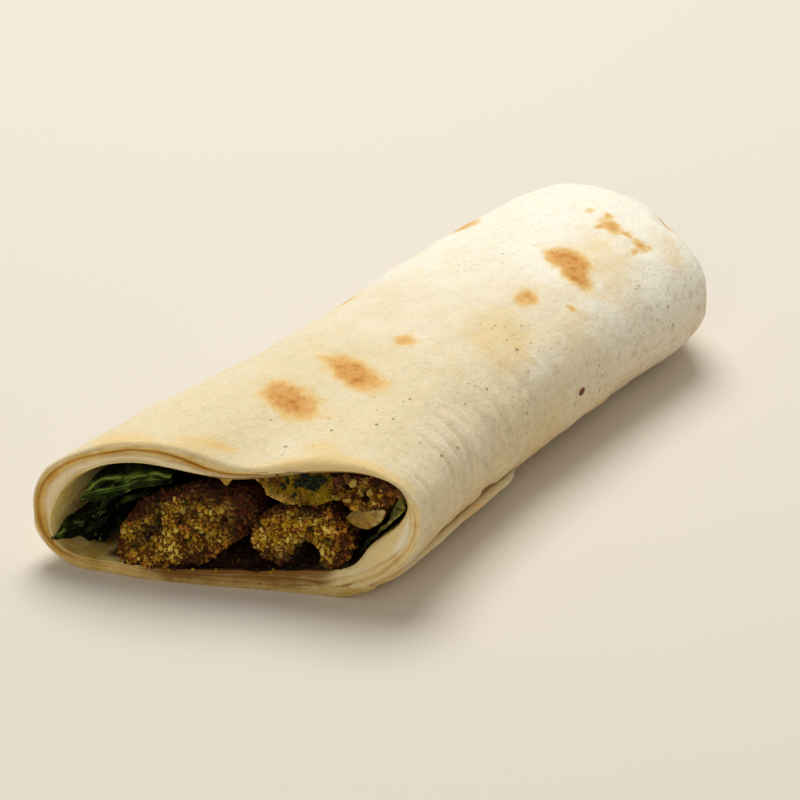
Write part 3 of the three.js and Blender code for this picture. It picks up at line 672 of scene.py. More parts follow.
def skin_colour(bread, middling, fine):
    """Cream, dusted white in patches, with grey-green mottles, toasted blisters, specks and a few burnt
    spots; paler towards the tucked end as painted light, with painted shade by the cut, and a warmer tan low
    on the right side, partly the dough's own and partly painted bounce light.
    """
    pale, straw = (254, 249, 233), (240, 208, 142)
    # Whiter in random patches, and towards the tucked end as painted light.
    flour_and_light = bread.grain(18) * 0.8 + bread.zone("floury") * 0.6
    mottles = bread.grain(1.7, 4, 0.65).ramp(0.46, 0.7) * (bread.zone("side") * 0.5 + 0.2)
    # A warmer tan low on the right: partly the dough's tone, partly painted bounce light.
    tan_and_bounce_light = bread.zone("low_side") * bread.grain(9).ramp(0.3, 0.7, 0.2, 0.75)
    yellow = bread.zone("yellowed") + middling * 0.6 + bread.grain(2.4, stretch=(1, 4, 1)) * 0.35
    ragged = bread.grain(3.2, 4, 0.65) * 0.95 + fine * 0.4 - 0.67
    toast = bread.zone("toasted") + ragged
    streaks = bread.grain(1.7, 4, 0.6, (1, 1.3, 1)).ramp(0.42, 0.66, 0.1, 0.8)
    layers = [
        (flour_and_light.ramp(0.35, 1.0), pale),
        (mottles, (198, 186, 148)),
        (fine.ramp(0.42, 0.72, 0, 0.35), pale),
        (tan_and_bounce_light, (218, 182, 126)),
        (yellow.ramp(0.62, 1.3, 0, 0.8), straw),
        (toast.ramp(0.02, 0.55), straw),
        (toast.ramp(0.25, 0.85, 0, 0.95), (226, 168, 92)),
        (toast.ramp(0.5, 1.0) * streaks, (190, 118, 50)),
    ]
    for spacing, kept in ((1.9, 0.4), (3.4, 0.35)):
        dots = bread.cells(spacing).ramp(0.04, 0.16, 1, 0)
        dots = dots * bread.cells(spacing, "Color").ramp(kept, kept + 0.1)
        layers.append((dots * bread.zone("speckled").ramp(0.1, 0.7) * 0.75, (104, 94, 66)))
    burn = bread.zone("burnt") + (fine * 0.8 - 0.3)
    layers.append((burn.ramp(0.4, 0.85, 0, 0.95), (106, 40, 20)))
    return painted((236, 220, 180), *layers)


def cut_bread_colours(bread, middling):
    """Doughy cream, golden between the outer turns, darker where the filling lies on it, partly stain and
    partly painted shade, and paler on the turns, partly in painted highlights.
    """
    gilt, pale_turn = bread.zone("gilt"), bread.zone("pale_turn")
    # Darker where stained, and where painted shade falls.
    stain_and_shade = bread.zone("soiled") + middling * 0.7
    worn = bread.grain(3.4).ramp(0.34, 0.62, 0.15, 0.6)
    inner = painted(
        (242, 216, 134),
        (middling.ramp(0.4, 0.7), (214, 176, 78)),
        (stain_and_shade.ramp(0.6, 1.3), (84, 46, 6)),
        (gilt * 0.85, (214, 160, 44)),
    )
    crumb = painted(
        (206, 160, 54),
        (pale_turn, (242, 212, 140)),
        (bread.grain(1.3, 4, 0.6).ramp(0.4, 0.75, 0, 0.6), (248, 230, 180)),
        (middling.ramp(0.5, 0.75, 0, 0.5), (206, 164, 78)),
        (gilt * bread.grain(7).ramp(0.3, 0.6, 0.35, 0.85), (200, 148, 24)),
        (stain_and_shade.ramp(0.38, 1.15, 0, 0.92), (128, 82, 4)),
        (bread.zone("layer_line").ramp(0.05, 0.6) * worn, (170, 122, 30)),
        # whitest on the inner turns and where highlights are painted
        (pale_turn.ramp(1.0, 1.4), (252, 242, 214)),
    )
    return inner, crumb


def bread_finish():
    """Floury skin outside, and creamy yellow where the bread is cut or holds the filling."""
    bread = Finish("baked_flatbread", 0.74, 0.25, 0.2, 0.0022)
    middling, fine = bread.grain(5, 4), bread.grain(0.9, 4, 0.7)
    inner, crumb = cut_bread_colours(bread, middling)
    skinned = skin_colour(bread, middling, fine)
    colour = painted(skinned, (bread.zone("inner_face"), inner), (bread.zone("cut_face"), crumb))
    height = fine * 0.7 + bread.grain(0.35, 2) * 0.3 + bread.grain(2.2, 4, 0.6) * 0.9
    return bread.done(colour, height, 0.32)


bread_material = bread_finish()
settle(new_piece("bread", [tube(shell, bread_zones)]), bread_material, "tortilla")

# ---------------------------------------------------------------- the bread's free edge
# The last turn of the bread ends under the right side: a strip one layer thick, with a soft wavy edge, from
# the cut to a round corner. It is the same bread, stuck down by its own weight.

LAYER = 1.7
FLAP_END_X, FLAP_TAPER, FLAP_SUNK = -2.5, 9.0, 1.2
FLAP_EDGE, FLAP_EDGE_FALL, FLAP_ROOT = 211.0, 13.0, 285.0  # degrees round the wrap
FLAP_BEHIND_CUT = 0.15
FLAP_STATIONS, BEAD_SAMPLES, STRIP_SAMPLES = 170, 14, 26


def flap_rings():
    """A strip with a rounded edge that is a little undercut, so that a crease shows above it."""
    start = cut_station(np.radians(np.array([250.0])))[0] + FLAP_BEHIND_CUT
    share = 1 - (1 - np.linspace(0, 1, FLAP_STATIONS)) ** 1.5
    x = mix(start, FLAP_END_X, share)[:, None]
    taper = smoothstep(FLAP_END_X - x, -0.4, FLAP_TAPER) * mix(0.25, 1, smoothstep(x - start, 0, 16))
    wave = uneven(stacked(x, 0, 0), (1.8, 8, 21), (0.9, 2.8, 22), (0.5, 1.3, 26))
    edge = np.radians(FLAP_EDGE + FLAP_EDGE_FALL * mouth_at(x) + wave + 6 * (1 - taper))
    speed = gap(skin(x, edge + 0.01), skin(x, edge - 0.01)) / 0.02
    radius = LAYER / 2 * np.sqrt(taper)
    bead_turn = np.linspace(-0.5, 0.5, BEAD_SAMPLES) * math.pi
    bead = edge - radius * np.cos(bead_turn) / speed
    strip = mix(edge, math.radians(FLAP_ROOT), np.linspace(0, 1, STRIP_SAMPLES + 1)[1:])
    angle = np.concatenate([bead, strip], axis=1)
    proud = np.concatenate([radius * (1 + np.sin(bead_turn)), 2 * radius + 0 * strip], axis=1) + 0.04
    leaning = cut_station(angle[0])[None] + FLAP_BEHIND_CUT - start
    stations = x + leaning * (1 - smoothstep(x, start, start + 12))
    proud = proud * (1 + 0.15 * lumps(stacked(stations, angle * 18, 0), 4, 23))
    root, out = skin(stations, angle), skin_normal(stations, angle)
    under_it = root[:, BEAD_SAMPLES:] - out[:, BEAD_SAMPLES:] * FLAP_SUNK
    rings = np.concatenate([root + out * proud[..., None], under_it[:, ::-1]], axis=1)
    behind_cut = np.maximum(-((rings - CUT_POINT) @ CUT_OUT), 0)
    rings = rings + CUT_OUT * bow_at(on_cut(rings), behind_cut)[..., None]
    rings[..., 2] = np.maximum(rings[..., 2], 0)
    return rings


rings = flap_rings()
near_the_cut = smoothstep(-np.arange(FLAP_STATIONS), -3, 0)
flap_zones = {
    "cut_face": near_the_cut,
    "pale_turn": 0.5 * near_the_cut,
    "yellowed": 0.55 * smoothstep(lumps(rings, 7, 24), -0.1, 0.5),
    # the flap lies low on the right: the same warmer tan, partly painted bounce light
    "low_side": 0.7,
    "toasted": 0.4 * smoothstep(lumps(rings, 4.5, 27), 0.05, 0.45),
    # paler towards its far end: painted light, and painted shade by the cut
    "floury": smoothstep(rings[..., 0], FLAP_END_X - 9, FLAP_END_X),
}
settle(new_piece("bread_edge", [tube(rings, flap_zones)]), bread_material, "tortilla")

# ---------------------------------------------------------------- the falafel
# Fried balls of ground chickpea and herbs in rows along the wrap, three of them sliced by the knife: a
# coarse moist crumb with gaps, inside a thin brown crust. Each is a rough core with loose grains set on it.

# Pale is the unfried middle of the cut face, an ellipse; holes have a radius and a depth; golden spots have
# a radius; grain is the coarseness, and fried how brown the whole face is.
Falafel = namedtuple("Falafel", "outline middle overhang pale holes golden grain fried seed")
FALAFEL = {
    "falafel_left": Falafel(
        [
            (-29.2, 7.6), (-27.6, 12.4), (-24.8, 16.2), (-19.6, 18.8), (-14.2, 20.9), (-8, 21.3),
            (-3.2, 20.2), (-1.0, 16.6), (-2.2, 12.2), (-5.8, 9.2), (-8.8, 6.4), (-14.4, 4.3),
            (-22, 3.6), (-27.2, 4.0),
        ],
        (-15.2, 12.4), 0.7, (-18.4, 9.5, 11.4, 6.6, 20),
        [(-22.5, 18.8, 1.6, 1.2), (-12.0, 18.4, 1.5, 1.0), (-7.4, 14.6, 1.2, 1.0)],
        [(-25.6, 5.0, 2.2), (-21.6, 4.0, 1.8), (-17.0, 4.2, 1.6), (-7.6, 8.0, 1.8)],
        1.0, 0.0, 11,
    ),
    "falafel_right": Falafel(
        [
            (-1.6, 9.6), (-0.9, 14.2), (1.6, 17.3), (5.8, 19.3), (11.2, 19.6), (15.7, 17.6), (18.6, 14.0),
            (18.5, 10.2), (16.6, 7.4), (12, 6.0), (5, 5.2), (0.2, 6.0),
        ],
        (6.2, 13.2), 0.5, (8.3, 13.4, 9.8, 5.4, -10),
        [(9.9, 8.3, 3.0, 8.0), (-1.6, 7.0, 1.9, 5.0), (13.4, 12.6, 1.3, 1.6)],
        [(13.6, 18.2, 2.2), (16.4, 15.6, 2.4), (17.6, 11.8, 2.6), (17, 8, 2.2), (0, 12.6, 1.8)],
        1.0, 0.0, 23,
    ),
    "falafel_top": Falafel(
        [
            (15.0, 24.4), (16.2, 27.4), (20.6, 28.4), (25.2, 27.8), (27.6, 25.6), (26.2, 22.6),
            (21.6, 20.8), (16.8, 21.0),
        ],
        (20.8, 24.6), 0.3, (20.6, 24.6, 6.2, 3.8, 0),
        [(18.2, 25.8, 1.3, 2.4), (22.0, 23.6, 1.4, 2.6), (23.8, 26.4, 1.2, 2.0), (17.0, 22.6, 1.0, 1.6)],
        [(25.4, 24.4, 1.8), (19.0, 21.4, 1.6)],
        1.7, 0.5, 37,
    ),
}
FALAFEL_PITCH, FALAFEL_LENGTH = 38.0, 136.0
BALL_REACH = 0.58  # of the pitch, so that a row's balls are pressed together
SET_BACK, EDGE_FALL, LOW_EDGE_FALL = 0.3, 1.3, 0.6  # the face behind the cut, and its rounded edge
SAG = 0.3  # crumb that stands out of the cut hangs down
FACE_RINGS, FALAFEL_RING = 44, 170
SIDE_DEPTHS = [0.5, 1.1, 1.8, 2.6, 3.6, 5, 6.5, 8.5, 11, 14, 17, 20, 24, 28, 32, 36, 38, 40, 44, 50, 57]
SIDE_DEPTHS += [64, 70, 74, 76, 78, 82, 88, 95, 102, 108, 112, 114, 116, 120, 125, 129, 132, 134.5, 136]


def near_spots(place, spots):
    """1 in the middle of a spot, given as across, up and radius, and less away from all of them."""
    near = [bell(gap(place, spot), radius) for *spot, radius in spots]
    return np.max(near + [np.zeros(place.shape[:-1])], axis=0)


def run_outline(middle, outline, share, depth, lump_layer):
    """The outline of a filling behind the cut, scaled by a share and pressed in unevenly."""
    place = mix(middle, outline, share)
    height, size, seed = lump_layer
    pressed = height * (1 + lumps(with_third(place, depth), size, seed))
    return mix(middle, place, (1 - pressed)[:, None])


def falafel_core(falafel):
    """The cut face as rings round its middle, then the ball's side and the row behind it."""
    middle, seed = np.array(falafel.middle), falafel.seed
    outline = curve_through(falafel.outline, FALAFEL_RING, closed=True)
    rings, zones = [], []  # the zones by ring: cut_share, crusted, pitted, which is painted shade in pits and holes, and golden
    for i in range(1, FACE_RINGS + 1):
        share = (i / FACE_RINGS) ** 0.8
        place = mix(middle, outline, share)
        flat = with_third(place, seed)
        low = smoothstep(place[:, 1], falafel.outline[0][1] + 6, 4)
        pits = uneven(flat, (0.9, 5.0, seed), (1.2, 2.1, seed + 1))
        depth = SET_BACK + pits - falafel.overhang * low - bow_at(place)
        for *spot, radius, deep in falafel.holes:
            hole = deep * (1 - smoothstep(gap(place, spot) / radius, 0.5, 1.25))
            depth = depth + hole
            pits = pits + hole
        depth = depth + mix(EDGE_FALL, LOW_EDGE_FALL, low) * smoothstep(share, 0.8, 1.0) ** 2
        across, up, *ellipse = falafel.pale
        apart = out_of_ellipse(place[:, 0] - across, place[:, 1] - up, *ellipse)
        browned = smoothstep(apart + 0.4 * lumps(flat, 3.4, seed + 5), 0.82, 1.2)
        crusted = smoothstep(share + 0.12 * lumps(flat, 2.6, seed + 2), 0.76, 0.98)
        crusted = np.clip(crusted + 0.85 * browned + falafel.fried, 0, 1)
        sag = SAG * np.maximum(-depth, 0) * low
        rings.append(inside(place - sag[:, None] * [0, 1], depth))
        golden = near_spots(place, falafel.golden)
        # the third zone is painted shade, darker the deeper the pit or hole
        zones.append((1 - smoothstep(pits, 2.6, 4.2), crusted, smoothstep(pits, 0.1, 1.5), golden))
    for distance in SIDE_DEPTHS:
        from_middle = abs((distance + FALAFEL_PITCH / 2) % FALAFEL_PITCH - FALAFEL_PITCH / 2)
        waist = math.sqrt(1 - (from_middle / (BALL_REACH * FALAFEL_PITCH)) ** 2)
        closing = math.sqrt(max(1 - float(smoothstep(distance, FALAFEL_LENGTH - 12, 138)) ** 2, 0.02))
        place = run_outline(middle, outline, waist * closing, distance, (0.05, 3.2, seed + 3))
        rings.append(inside(place, depth * (1 - smoothstep(distance, 0, 12)) + distance))
        golden = golden * 0.9
        zones.append((0.5 if distance < 5 else 0.0, 1.0, 0.3, golden))
    return tube(np.array(rings), dict(zip(("cut_share", "crusted", "pitted", "golden"), zip(*zones))))


GRAIN_INPUTS = {"Geometry": "Geometry", "Grain spacing": "Float", "Grain radius": "Float", "Seed": "Int"}
GRAIN_INPUTS |= {"Material": "Material"}
GRAIN_SIZES = [(1.0, 1.0, 2), (0.6, 0.5, 1)]  # shares of the spacing and radius, and how finely faced
CRUMPLE_SCALE, CRUMPLE = 1900.0, 1.9


def grain_tree():
    """Grains of two sizes set on a core by its cut_share, each with its own size, turn and tone."""
    tree = bpy.data.node_groups.new("loose_grains", "GeometryNodeTree")
    keys = {}
    for name, kind in GRAIN_INPUTS.items():
        socket = tree.interface.new_socket(name, in_out="INPUT", socket_type="NodeSocket" + kind)
        keys[name] = socket.identifier
    tree.interface.new_socket("Geometry", in_out="OUTPUT", socket_type="NodeSocketGeometry")
    core, spacing_in, radius_in, seed_in, material = (
        Amount(tree, "NodeGroupInput", {}, name) for name in GRAIN_INPUTS
    )

    def node(kind, feeds, output=0, **settings):
        return Amount(tree, kind, feeds, output, **settings)

    def random(kind, low, high, seed):
        first, output = (0, 0) if kind == "FLOAT_VECTOR" else (2, 1)
        feeds = {first: low, first + 1: high, "Seed": seed}
        return node("FunctionNodeRandomValue", feeds, output, data_type=kind)

    share = node("GeometryNodeInputNamedAttribute", {"Name": "cut_share"}, "Attribute", data_type="FLOAT")
    parts = [core]
    for order, (spacing_share, radius_share, sides) in enumerate(GRAIN_SIZES):
        spacing = spacing_in * spacing_share
        most = node("ShaderNodeMath", {0: 1.0, 1: spacing * spacing}, operation="DIVIDE")
        seed = node("FunctionNodeIntegerMath", {0: seed_in, 1: 17 * order}, operation="ADD")
        spread = {"Mesh": core, "Distance Min": spacing, "Density Max": most, "Density Factor": share}
        spread["Seed"] = seed
        kind = "GeometryNodeDistributePointsOnFaces"
        spread = node(kind, spread, "Points", distribute_method="POISSON")
        ball = node("GeometryNodeMeshIcoSphere", {"Radius": 1.0, "Subdivisions": sides})
        scale = {0: random("FLOAT_VECTOR", (0.35, 0.35, 0.3), (1.7, 1.2, 0.95), seed)}
        scale = node("ShaderNodeVectorMath", scale | {"Scale": radius_in * radius_share}, operation="SCALE")
        turn = random("FLOAT_VECTOR", (0.0, 0.0, 0.0), (6.3, 6.3, 6.3), seed)
        grains = {"Points": spread, "Instance": ball, "Rotation": turn, "Scale": scale}
        grains = node("GeometryNodeInstanceOnPoints", grains)
        toned = {"Geometry": grains, "Name": "tone", "Value": random("FLOAT", 0.0, 1.0, seed)}
        toned = node("GeometryNodeStoreNamedAttribute", toned, domain="INSTANCE")
        loose = node("GeometryNodeRealizeInstances", {"Geometry": toned})
        crumple = {"Vector": node("GeometryNodeInputPosition", {}), "Scale": CRUMPLE_SCALE}
        crumple = node("ShaderNodeTexNoise", crumple | {"Detail": 2.0, "Roughness": 0.6}, "Color")
        push = node("ShaderNodeVectorMath", {0: crumple, 1: (0.5, 0.5, 0.5)}, operation="SUBTRACT")
        push = node("ShaderNodeVectorMath", {0: push, "Scale": radius_in * CRUMPLE}, operation="SCALE")
        parts.append(node("GeometryNodeSetPosition", {"Geometry": loose, "Offset": push}))
    joined = node("GeometryNodeJoinGeometry", {"Geometry": parts})
    finished = node("GeometryNodeSetMaterial", {"Geometry": joined, "Material": material})
    tree.links.new(finished.socket, tree.nodes.new("NodeGroupOutput").inputs[0])
    return tree, keys


def grown(piece, spacing, radius, seed, material):
    """The piece with grains grown on it, as a plain mesh."""
    growth = piece.modifiers.new("growth", "NODES")
    growth.node_group = grains
    values = {"Grain spacing": spacing, "Grain radius": radius, "Seed": seed, "Material": material}
    for name, value in values.items():
        growth[grain_keys[name]] = value
    graph = bpy.context.evaluated_depsgraph_get()
    mesh = bpy.data.meshes.new_from_object(piece.evaluated_get(graph), depsgraph=graph)
    mesh.name = piece.name
    piece.modifiers.remove(growth)
    piece.data = mesh
    return piece


def crumb_finish():
    """Ground chickpea: yellow-olive grains over a darker paste, brown towards the fried crust, with painted
    shade deep in the pits and holes.
    """
    crumb = Finish("falafel_crumb", 0.7, 0.22, 0.06)
    tone, crumbs = crumb.zone("tone"), crumb.grain(0.8, 3, 0.65)
    bright = tone * 0.45 + crumb.grain(4.5) * 0.45 + crumbs * 0.5
    light = painted(
        (100, 58, 2),
        (bright.ramp(0.38, 0.7), (202, 154, 32)),
        (bright.ramp(0.68, 0.94), (250, 222, 108)),
        (tone.ramp(0.05, 0.09, 1, 0), (62, 66, 12)),
        (tone.ramp(0.92, 0.96, 0, 0.85), (176, 84, 14)),
    )
    fried = painted(
        (20, 3, 0),
        (crumbs.ramp(0.35, 0.7), (98, 34, 0)),
        (bright.ramp(0.84, 1.06, 0, 0.7), (186, 100, 20)),
        (crumb.zone("golden") * bright.ramp(0.5, 0.84, 0.05, 1.0), (212, 140, 40)),
    )
    colour = painted(
        (60, 22, 0),
        (crumbs, (134, 84, 8)),
        (tone.ramp(0.01, 0.03), light),
        (crumb.zone("crusted") * 0.93, fried),
        # painted shade in the pits and holes, and under the falafel
        (crumb.zone("pitted") * 0.88, (18, 5, 0)),
    )
    return crumb.done(colour, crumb.grain(0.35, 3, 0.7), 0.25)


crumb_material = crumb_finish()
grains, grain_keys = grain_tree()
for name, falafel in FALAFEL.items():
    core = new_piece(name, [falafel_core(falafel)])
    core = grown(core, 0.0007 * falafel.grain, 0.00053 * falafel.grain, falafel.seed, crumb_material)
    settle(core, crumb_material, name)

# ---------------------------------------------------------------- the spinach
# Raw baby spinach leaves rolled in on the left, over the falafel and down the right side. Each is a thin
# crumpled blade with a midrib and side veins, and its front margin droops out of the cut.

# The folds of a leaf lie this far beside its path and behind its front.
Leaf = namedtuple("Leaf", "front length droop ripple rib_along seed folds path")
LEAVES = {
    "leaf_upper": Leaf(
        -1.0, 66, 2.6, 0.7, True, 61, [(0, 0), (-1.5, 1.8)],
        [(-37.6, 15.0), (-35.8, 19.1), (-31, 22.0), (-25.6, 23.2), (-19.6, 23.0)],
    ),
    "leaf_middle": Leaf(
        0.2, 58, 2.6, 0.8, True, 67, [(0, 0), (-1.3, 1.4), (1.3, 2.6)],
        [(-38.8, 11.2), (-35.2, 14.2), (-32.4, 16.8), (-29.8, 19.0), (-25.8, 20.6)],
    ),
    "leaf_lower": Leaf(
        -1.8, 62, 1.8, 0.7, True, 71, [(0, 0), (1.4, 2.2)],
        [(-43.0, 5.4), (-40.4, 8.2), (-36.6, 9.9), (-33.2, 11.9), (-31, 14.4)],
    ),
    "leaf_floor": Leaf(
        0.2, 45, 1.2, 0.5, False, 73, [(0, 0), (1.3, 0.9)],
        [(-38.4, 4.9), (-35, 6.9), (-32.2, 8.2), (-30.4, 10.6)],
    ),
    "leaf_top": Leaf(
        2.5, 52, 0.3, 0.3, False, 79, [(0, 0)],
        [(-16.6, 22.5), (-12, 22.9), (-8, 22.7), (-4, 22.9)],
    ),
    "leaf_right": Leaf(
        -0.3, 50, 0.4, 0.25, False, 83, [(0, 0)],
        [(28.3, 25), (28.5, 21.6), (26.3, 18.3), (23, 15), (20.8, 12), (19.5, 9.9)],
    ),
}
LEAF_LIT = [  # where the light catches the leaves, each place with its radius
    (-34.3, 13.2, 1.3), (-41.0, 7.6, 0.8), (-36.8, 16.3, 1.9), (-35.2, 19.0, 2.0), (-31.4, 21.6, 2.6),
    (-27.0, 23.2, 1.7), (-22.6, 23.2, 1.3), (28.4, 24.8, 1.8), (28.8, 22.4, 1.9), (27.6, 20.2, 1.5),
    (25.8, 17.8, 0.9),
]
LEAF_THICKNESS, RIB_RAISED, VEIN_RAISED = 0.45, 0.3, 0.16
FRONT_BOW, DROOP_FADES = 2.2, 2.6
RIB_HALF_WIDTH, VEIN_HALF_WIDTH, VEIN_SPACING = 0.26, 0.32, 4.2
LEAF_ROWS, LEAF_COLUMNS = 64, 44


def leaf_blade(leaf, beside, behind, seed):
    """One blade as a part, set off its leaf's path and back from its front, with its marks."""
    path = curve_through(leaf.path, LEAF_COLUMNS)
    tangent = np.gradient(path, axis=0)
    tangent /= np.linalg.norm(tangent, axis=1, keepdims=True)
    share = np.linspace(0, 1, LEAF_ROWS)[:, None] ** 1.7
    t = np.linspace(-1, 1, LEAF_COLUMNS)
    spread = np.sqrt(np.maximum(1 - smoothstep(share, 0.3, 1) ** 2, 0.02))
    column = (0.5 + 0.5 * spread * t) * (LEAF_COLUMNS - 1)
    place = read_off(column, np.arange(LEAF_COLUMNS), path)
    side = read_off(column, np.arange(LEAF_COLUMNS), tangent[:, ::-1] * [-1, 1])
    distance = leaf.front + behind + share * (leaf.length - behind)
    ragged = lumps(stacked(4 * t, 0, 0), 1.6, seed) * (1 - share)
    depth = distance + ragged + FRONT_BOW * t**2 * (1 - smoothstep(share, 0, 0.2))
    flat = stacked(column * 0.45, depth, 0)
    wave = beside + uneven(flat, (leaf.ripple, 6, seed + 1), (0.5, 2.4, seed + 2))
    from_front = distance - leaf.front - behind
    lit = near_spots(place, LEAF_LIT)
    if leaf.rib_along:  # the light picks out strands and the margin before the rib
        from_rib = np.abs(depth - 1.2 - 1.2 * t)
        vein_at = column * 0.9 + from_rib * 1.6
        strands = bell(lumps(stacked(column * 0.16, depth * 1.7, 0), 1.0, seed + 4), 0.14)
        margin = 0.9 * bell(from_front - 0.3, 0.14)
        lit = lit * np.maximum(0.96 * strands * bell(from_front - 1.6, 1.1), margin)
    else:  # the rib runs into the wrap, and painted highlights catch a frilled margin
        from_rib = np.abs(column - LEAF_COLUMNS / 2) * 0.5
        vein_at = depth * 0.9 - from_rib * 1.4
        frills = smoothstep(lumps(stacked(column * 0.6, depth * 0.9, 0), 1.0, seed + 4), -0.2, 0.3)
        lit = lit * (0.25 + 0.75 * frills) * bell(from_front - 1.6, 3.4)
    rib = bell(from_rib, RIB_HALF_WIDTH)
    from_vein = ((vein_at / VEIN_SPACING + 0.5) % 1 - 0.5) * VEIN_SPACING
    vein = bell(from_vein, VEIN_HALF_WIDTH) * np.exp(-(from_rib / 9))
    raised = RIB_RAISED * rib + VEIN_RAISED * vein
    droop = leaf.droop * np.exp(-(from_front / DROOP_FADES)) * (1 - 0.6 * t**2)
    faces = []
    for off in (wave + 0.5 * (LEAF_THICKNESS + raised), wave - 0.5 * LEAF_THICKNESS):
        spot = place + side * off[..., None]
        faces.append(inside(spot + droop[..., None] * [0.35, -1], depth))
    # painted light, a little, towards the blade's front near the opening
    lit_towards_front = np.exp(-(from_front + behind) / 4.0) + 0 * column
    marks = {"rib": rib, "vein": vein, "front": lit_towards_front, "lit": lit}
    # the frills carry painted highlights on the leaves whose rib runs in
    marks["frill"] = 0 * lit if leaf.rib_along else lit
    marks = {key: np.concatenate([v, v[:, ::-1]], axis=1) for key, v in marks.items()}
    return tube(np.concatenate([faces[0], faces[1][:, ::-1]], axis=1), marks)


def spinach_finish():
    """Wet dark green blades, painted nearly black as the shade inside the wrap, with painted highlights where
    the light catches them, paler at the ribs, mottled where bruised.
    """
    leaf = Finish("spinach_leaf", 0.5, 0.08)
    front = leaf.zone("front") * leaf.grain(3).ramp(0.5, 0.64)
    # the colour of the painted highlight on the frills
    frill = painted((60, 76, 20), (leaf.grain(0.9).ramp(0.36, 0.56), (244, 216, 120)))
    # Nearly black as painted shade; the lit spots, strands, margin and frills and a little of the front are
    # painted highlights.
    colour = painted(
        (1, 2, 1),
        (leaf.grain(5, 4).ramp(0.35, 0.7), (5, 10, 3)),
        (front * 0.06 + leaf.zone("lit"), (128, 160, 62)),
        (leaf.zone("vein") * 0.2, (70, 100, 34)),
        (leaf.zone("rib") * leaf.grain(3.5).ramp(0.42, 0.62, 0.05, 1.0), (160, 178, 88)),
        (leaf.zone("frill"), frill),
    )
    return leaf.done(colour, leaf.grain(1.2, 3, 0.6), 0.25)


spinach_material = spinach_finish()
for name, leaf in LEAVES.items():
    blades = [leaf_blade(leaf, *fold, leaf.seed + 5 * order) for order, fold in enumerate(leaf.folds)]
    settle(new_piece(name, blades), spinach_material, name)

# ---------------------------------------------------------------- the hummus and the onion
# A smear of chickpea paste with chopped herb between the bread and the right falafel, and a moist pale
# piece of onion beside it. Both run in from the cut as they were laid.

Filling = namedtuple("Filling", "outline middle length creamy oily olive")
HUMMUS = Filling(
    [
        (-1.4, 24.6), (1.0, 26.0), (6, 27), (12, 27.8), (14.6, 26.6), (15.2, 23.6), (14.2, 21.2),
        (10.6, 20.1), (5, 19.9), (1.2, 21.8),
    ],
    (7.0, 23.6), 136.0,
    [(2.4, 21.2, 0.9), (4.4, 20.7, 1.0), (6.8, 20.4, 0.7), (-0.6, 24.4, 0.5), (0.9, 22.6, 0.6)],
    [(0.4, 25.4, 1.2), (2.8, 25.9, 1.6), (4.8, 24.8, 1.2), (2.7, 22.0, 0.6), (8.9, 21.3, 0.8)],
    [(12.7, 23.0, 2.2), (14.2, 22.6, 1.4), (12.7, 24.4, 1.3), (3.1, 23.6, 1.0), (6.8, 24.0, 1.6)],
)
ONION = Filling(
    [
        (17.2, 17.8), (17.5, 18.4), (18.9, 19.9), (19.4, 20.2), (23.0, 20.9), (25.0, 20.8), (25.3, 20.4),
        (24.6, 18.2), (24.3, 17.8), (22.1, 16.1), (21.7, 15.9), (19.3, 16.0), (18.9, 16.2),
    ],
    (21.2, 18.3), 40.0,
    [(24.9, 20.4, 1.0), (24.5, 18.6, 0.8), (22.8, 20.8, 0.7), (23.4, 17.2, 0.6)],
    [],
    [(17.8, 18.2, 1.2), (19.2, 19.6, 1.0), (19.4, 16.8, 0.9)],
)
FACE_ROWS, RUN_ROWS = 30, 39
EDGE_SET_BACK = 1.4  # how far behind the cut the face's edge lies


def filling_run(filling, seed, ring, bulge, rough):
    """A soft filling: a rounded face at the cut and a tapering run behind it."""
    middle = np.array(filling.middle)
    outline = curve_through(filling.outline, ring, closed=True)
    rings, zones = [], {"rim": [], "creamy": [], "oily": [], "olive": []}
    for i in range(1, FACE_ROWS + 1):
        share = math.sin(i / FACE_ROWS * math.pi / 2)
        place = mix(middle, outline, share)
        flat = with_third(place, seed)
        depth = EDGE_SET_BACK - bulge * math.sqrt(max(1 - share**2, 0))
        depth = depth + uneven(flat, (rough, 2.8, seed), (0.45 * rough, 1.1, seed + 1))
        rings.append(inside(place, depth))
        zones["rim"].append(share**3)
        for key in ("creamy", "oily", "olive"):
            zones[key].append(near_spots(place, getattr(filling, key)))
    for distance in np.linspace(0, 1, RUN_ROWS + 1)[1:] ** 1.6 * (filling.length - 2):
        ending = float(smoothstep(distance, filling.length - 14, filling.length))
        closing = math.sqrt(max(1 - ending**2, 0.03))
        place = run_outline(middle, outline, closing, distance, (0.04, 4, seed + 2))
        rings.append(inside(place, depth + distance))
        for key, rows in zones.items():
            rows.append(1.0 if key == "rim" else 0.0)
    zones["cut_share"] = 1.0 - smoothstep(np.arange(len(rings)), FACE_ROWS - 12, FACE_ROWS - 6)
    return tube(np.array(rings), zones)


def hummus_finish():
    """Paste mashed with herbs: brown and olive, creamy along its lower rim and oily at its left end."""
    hummus = Finish("herbed_hummus", 0.6, 0.18, 0.08, 0.0012)
    mash, fine = hummus.grain(2, 4, 0.6), hummus.grain(0.7, 3, 0.6)
    colour = painted(
        (82, 50, 0),
        (mash.ramp(0.36, 0.64), (158, 120, 12)),
        (hummus.grain(3.6).ramp(0.46, 0.66, 0, 0.7), (126, 112, 10)),
        (hummus.zone("olive") * 0.75, (146, 122, 0)),
        (hummus.zone("oily") * 0.85, (74, 24, 2)),
        (hummus.zone("tone").ramp(0.5, 1.0, 0, 0.5), (186, 148, 40)),
        (hummus.zone("creamy") * 0.9, (226, 180, 92)),
        (fine.ramp(0.4, 0.26, 0, 0.75), (40, 20, 0)),
        (hummus.cells(1.5).ramp(0.14, 0.26, 0.8, 0), (34, 34, 4)),
    )
    return hummus.done(colour, mash + fine * 0.5, 0.7)


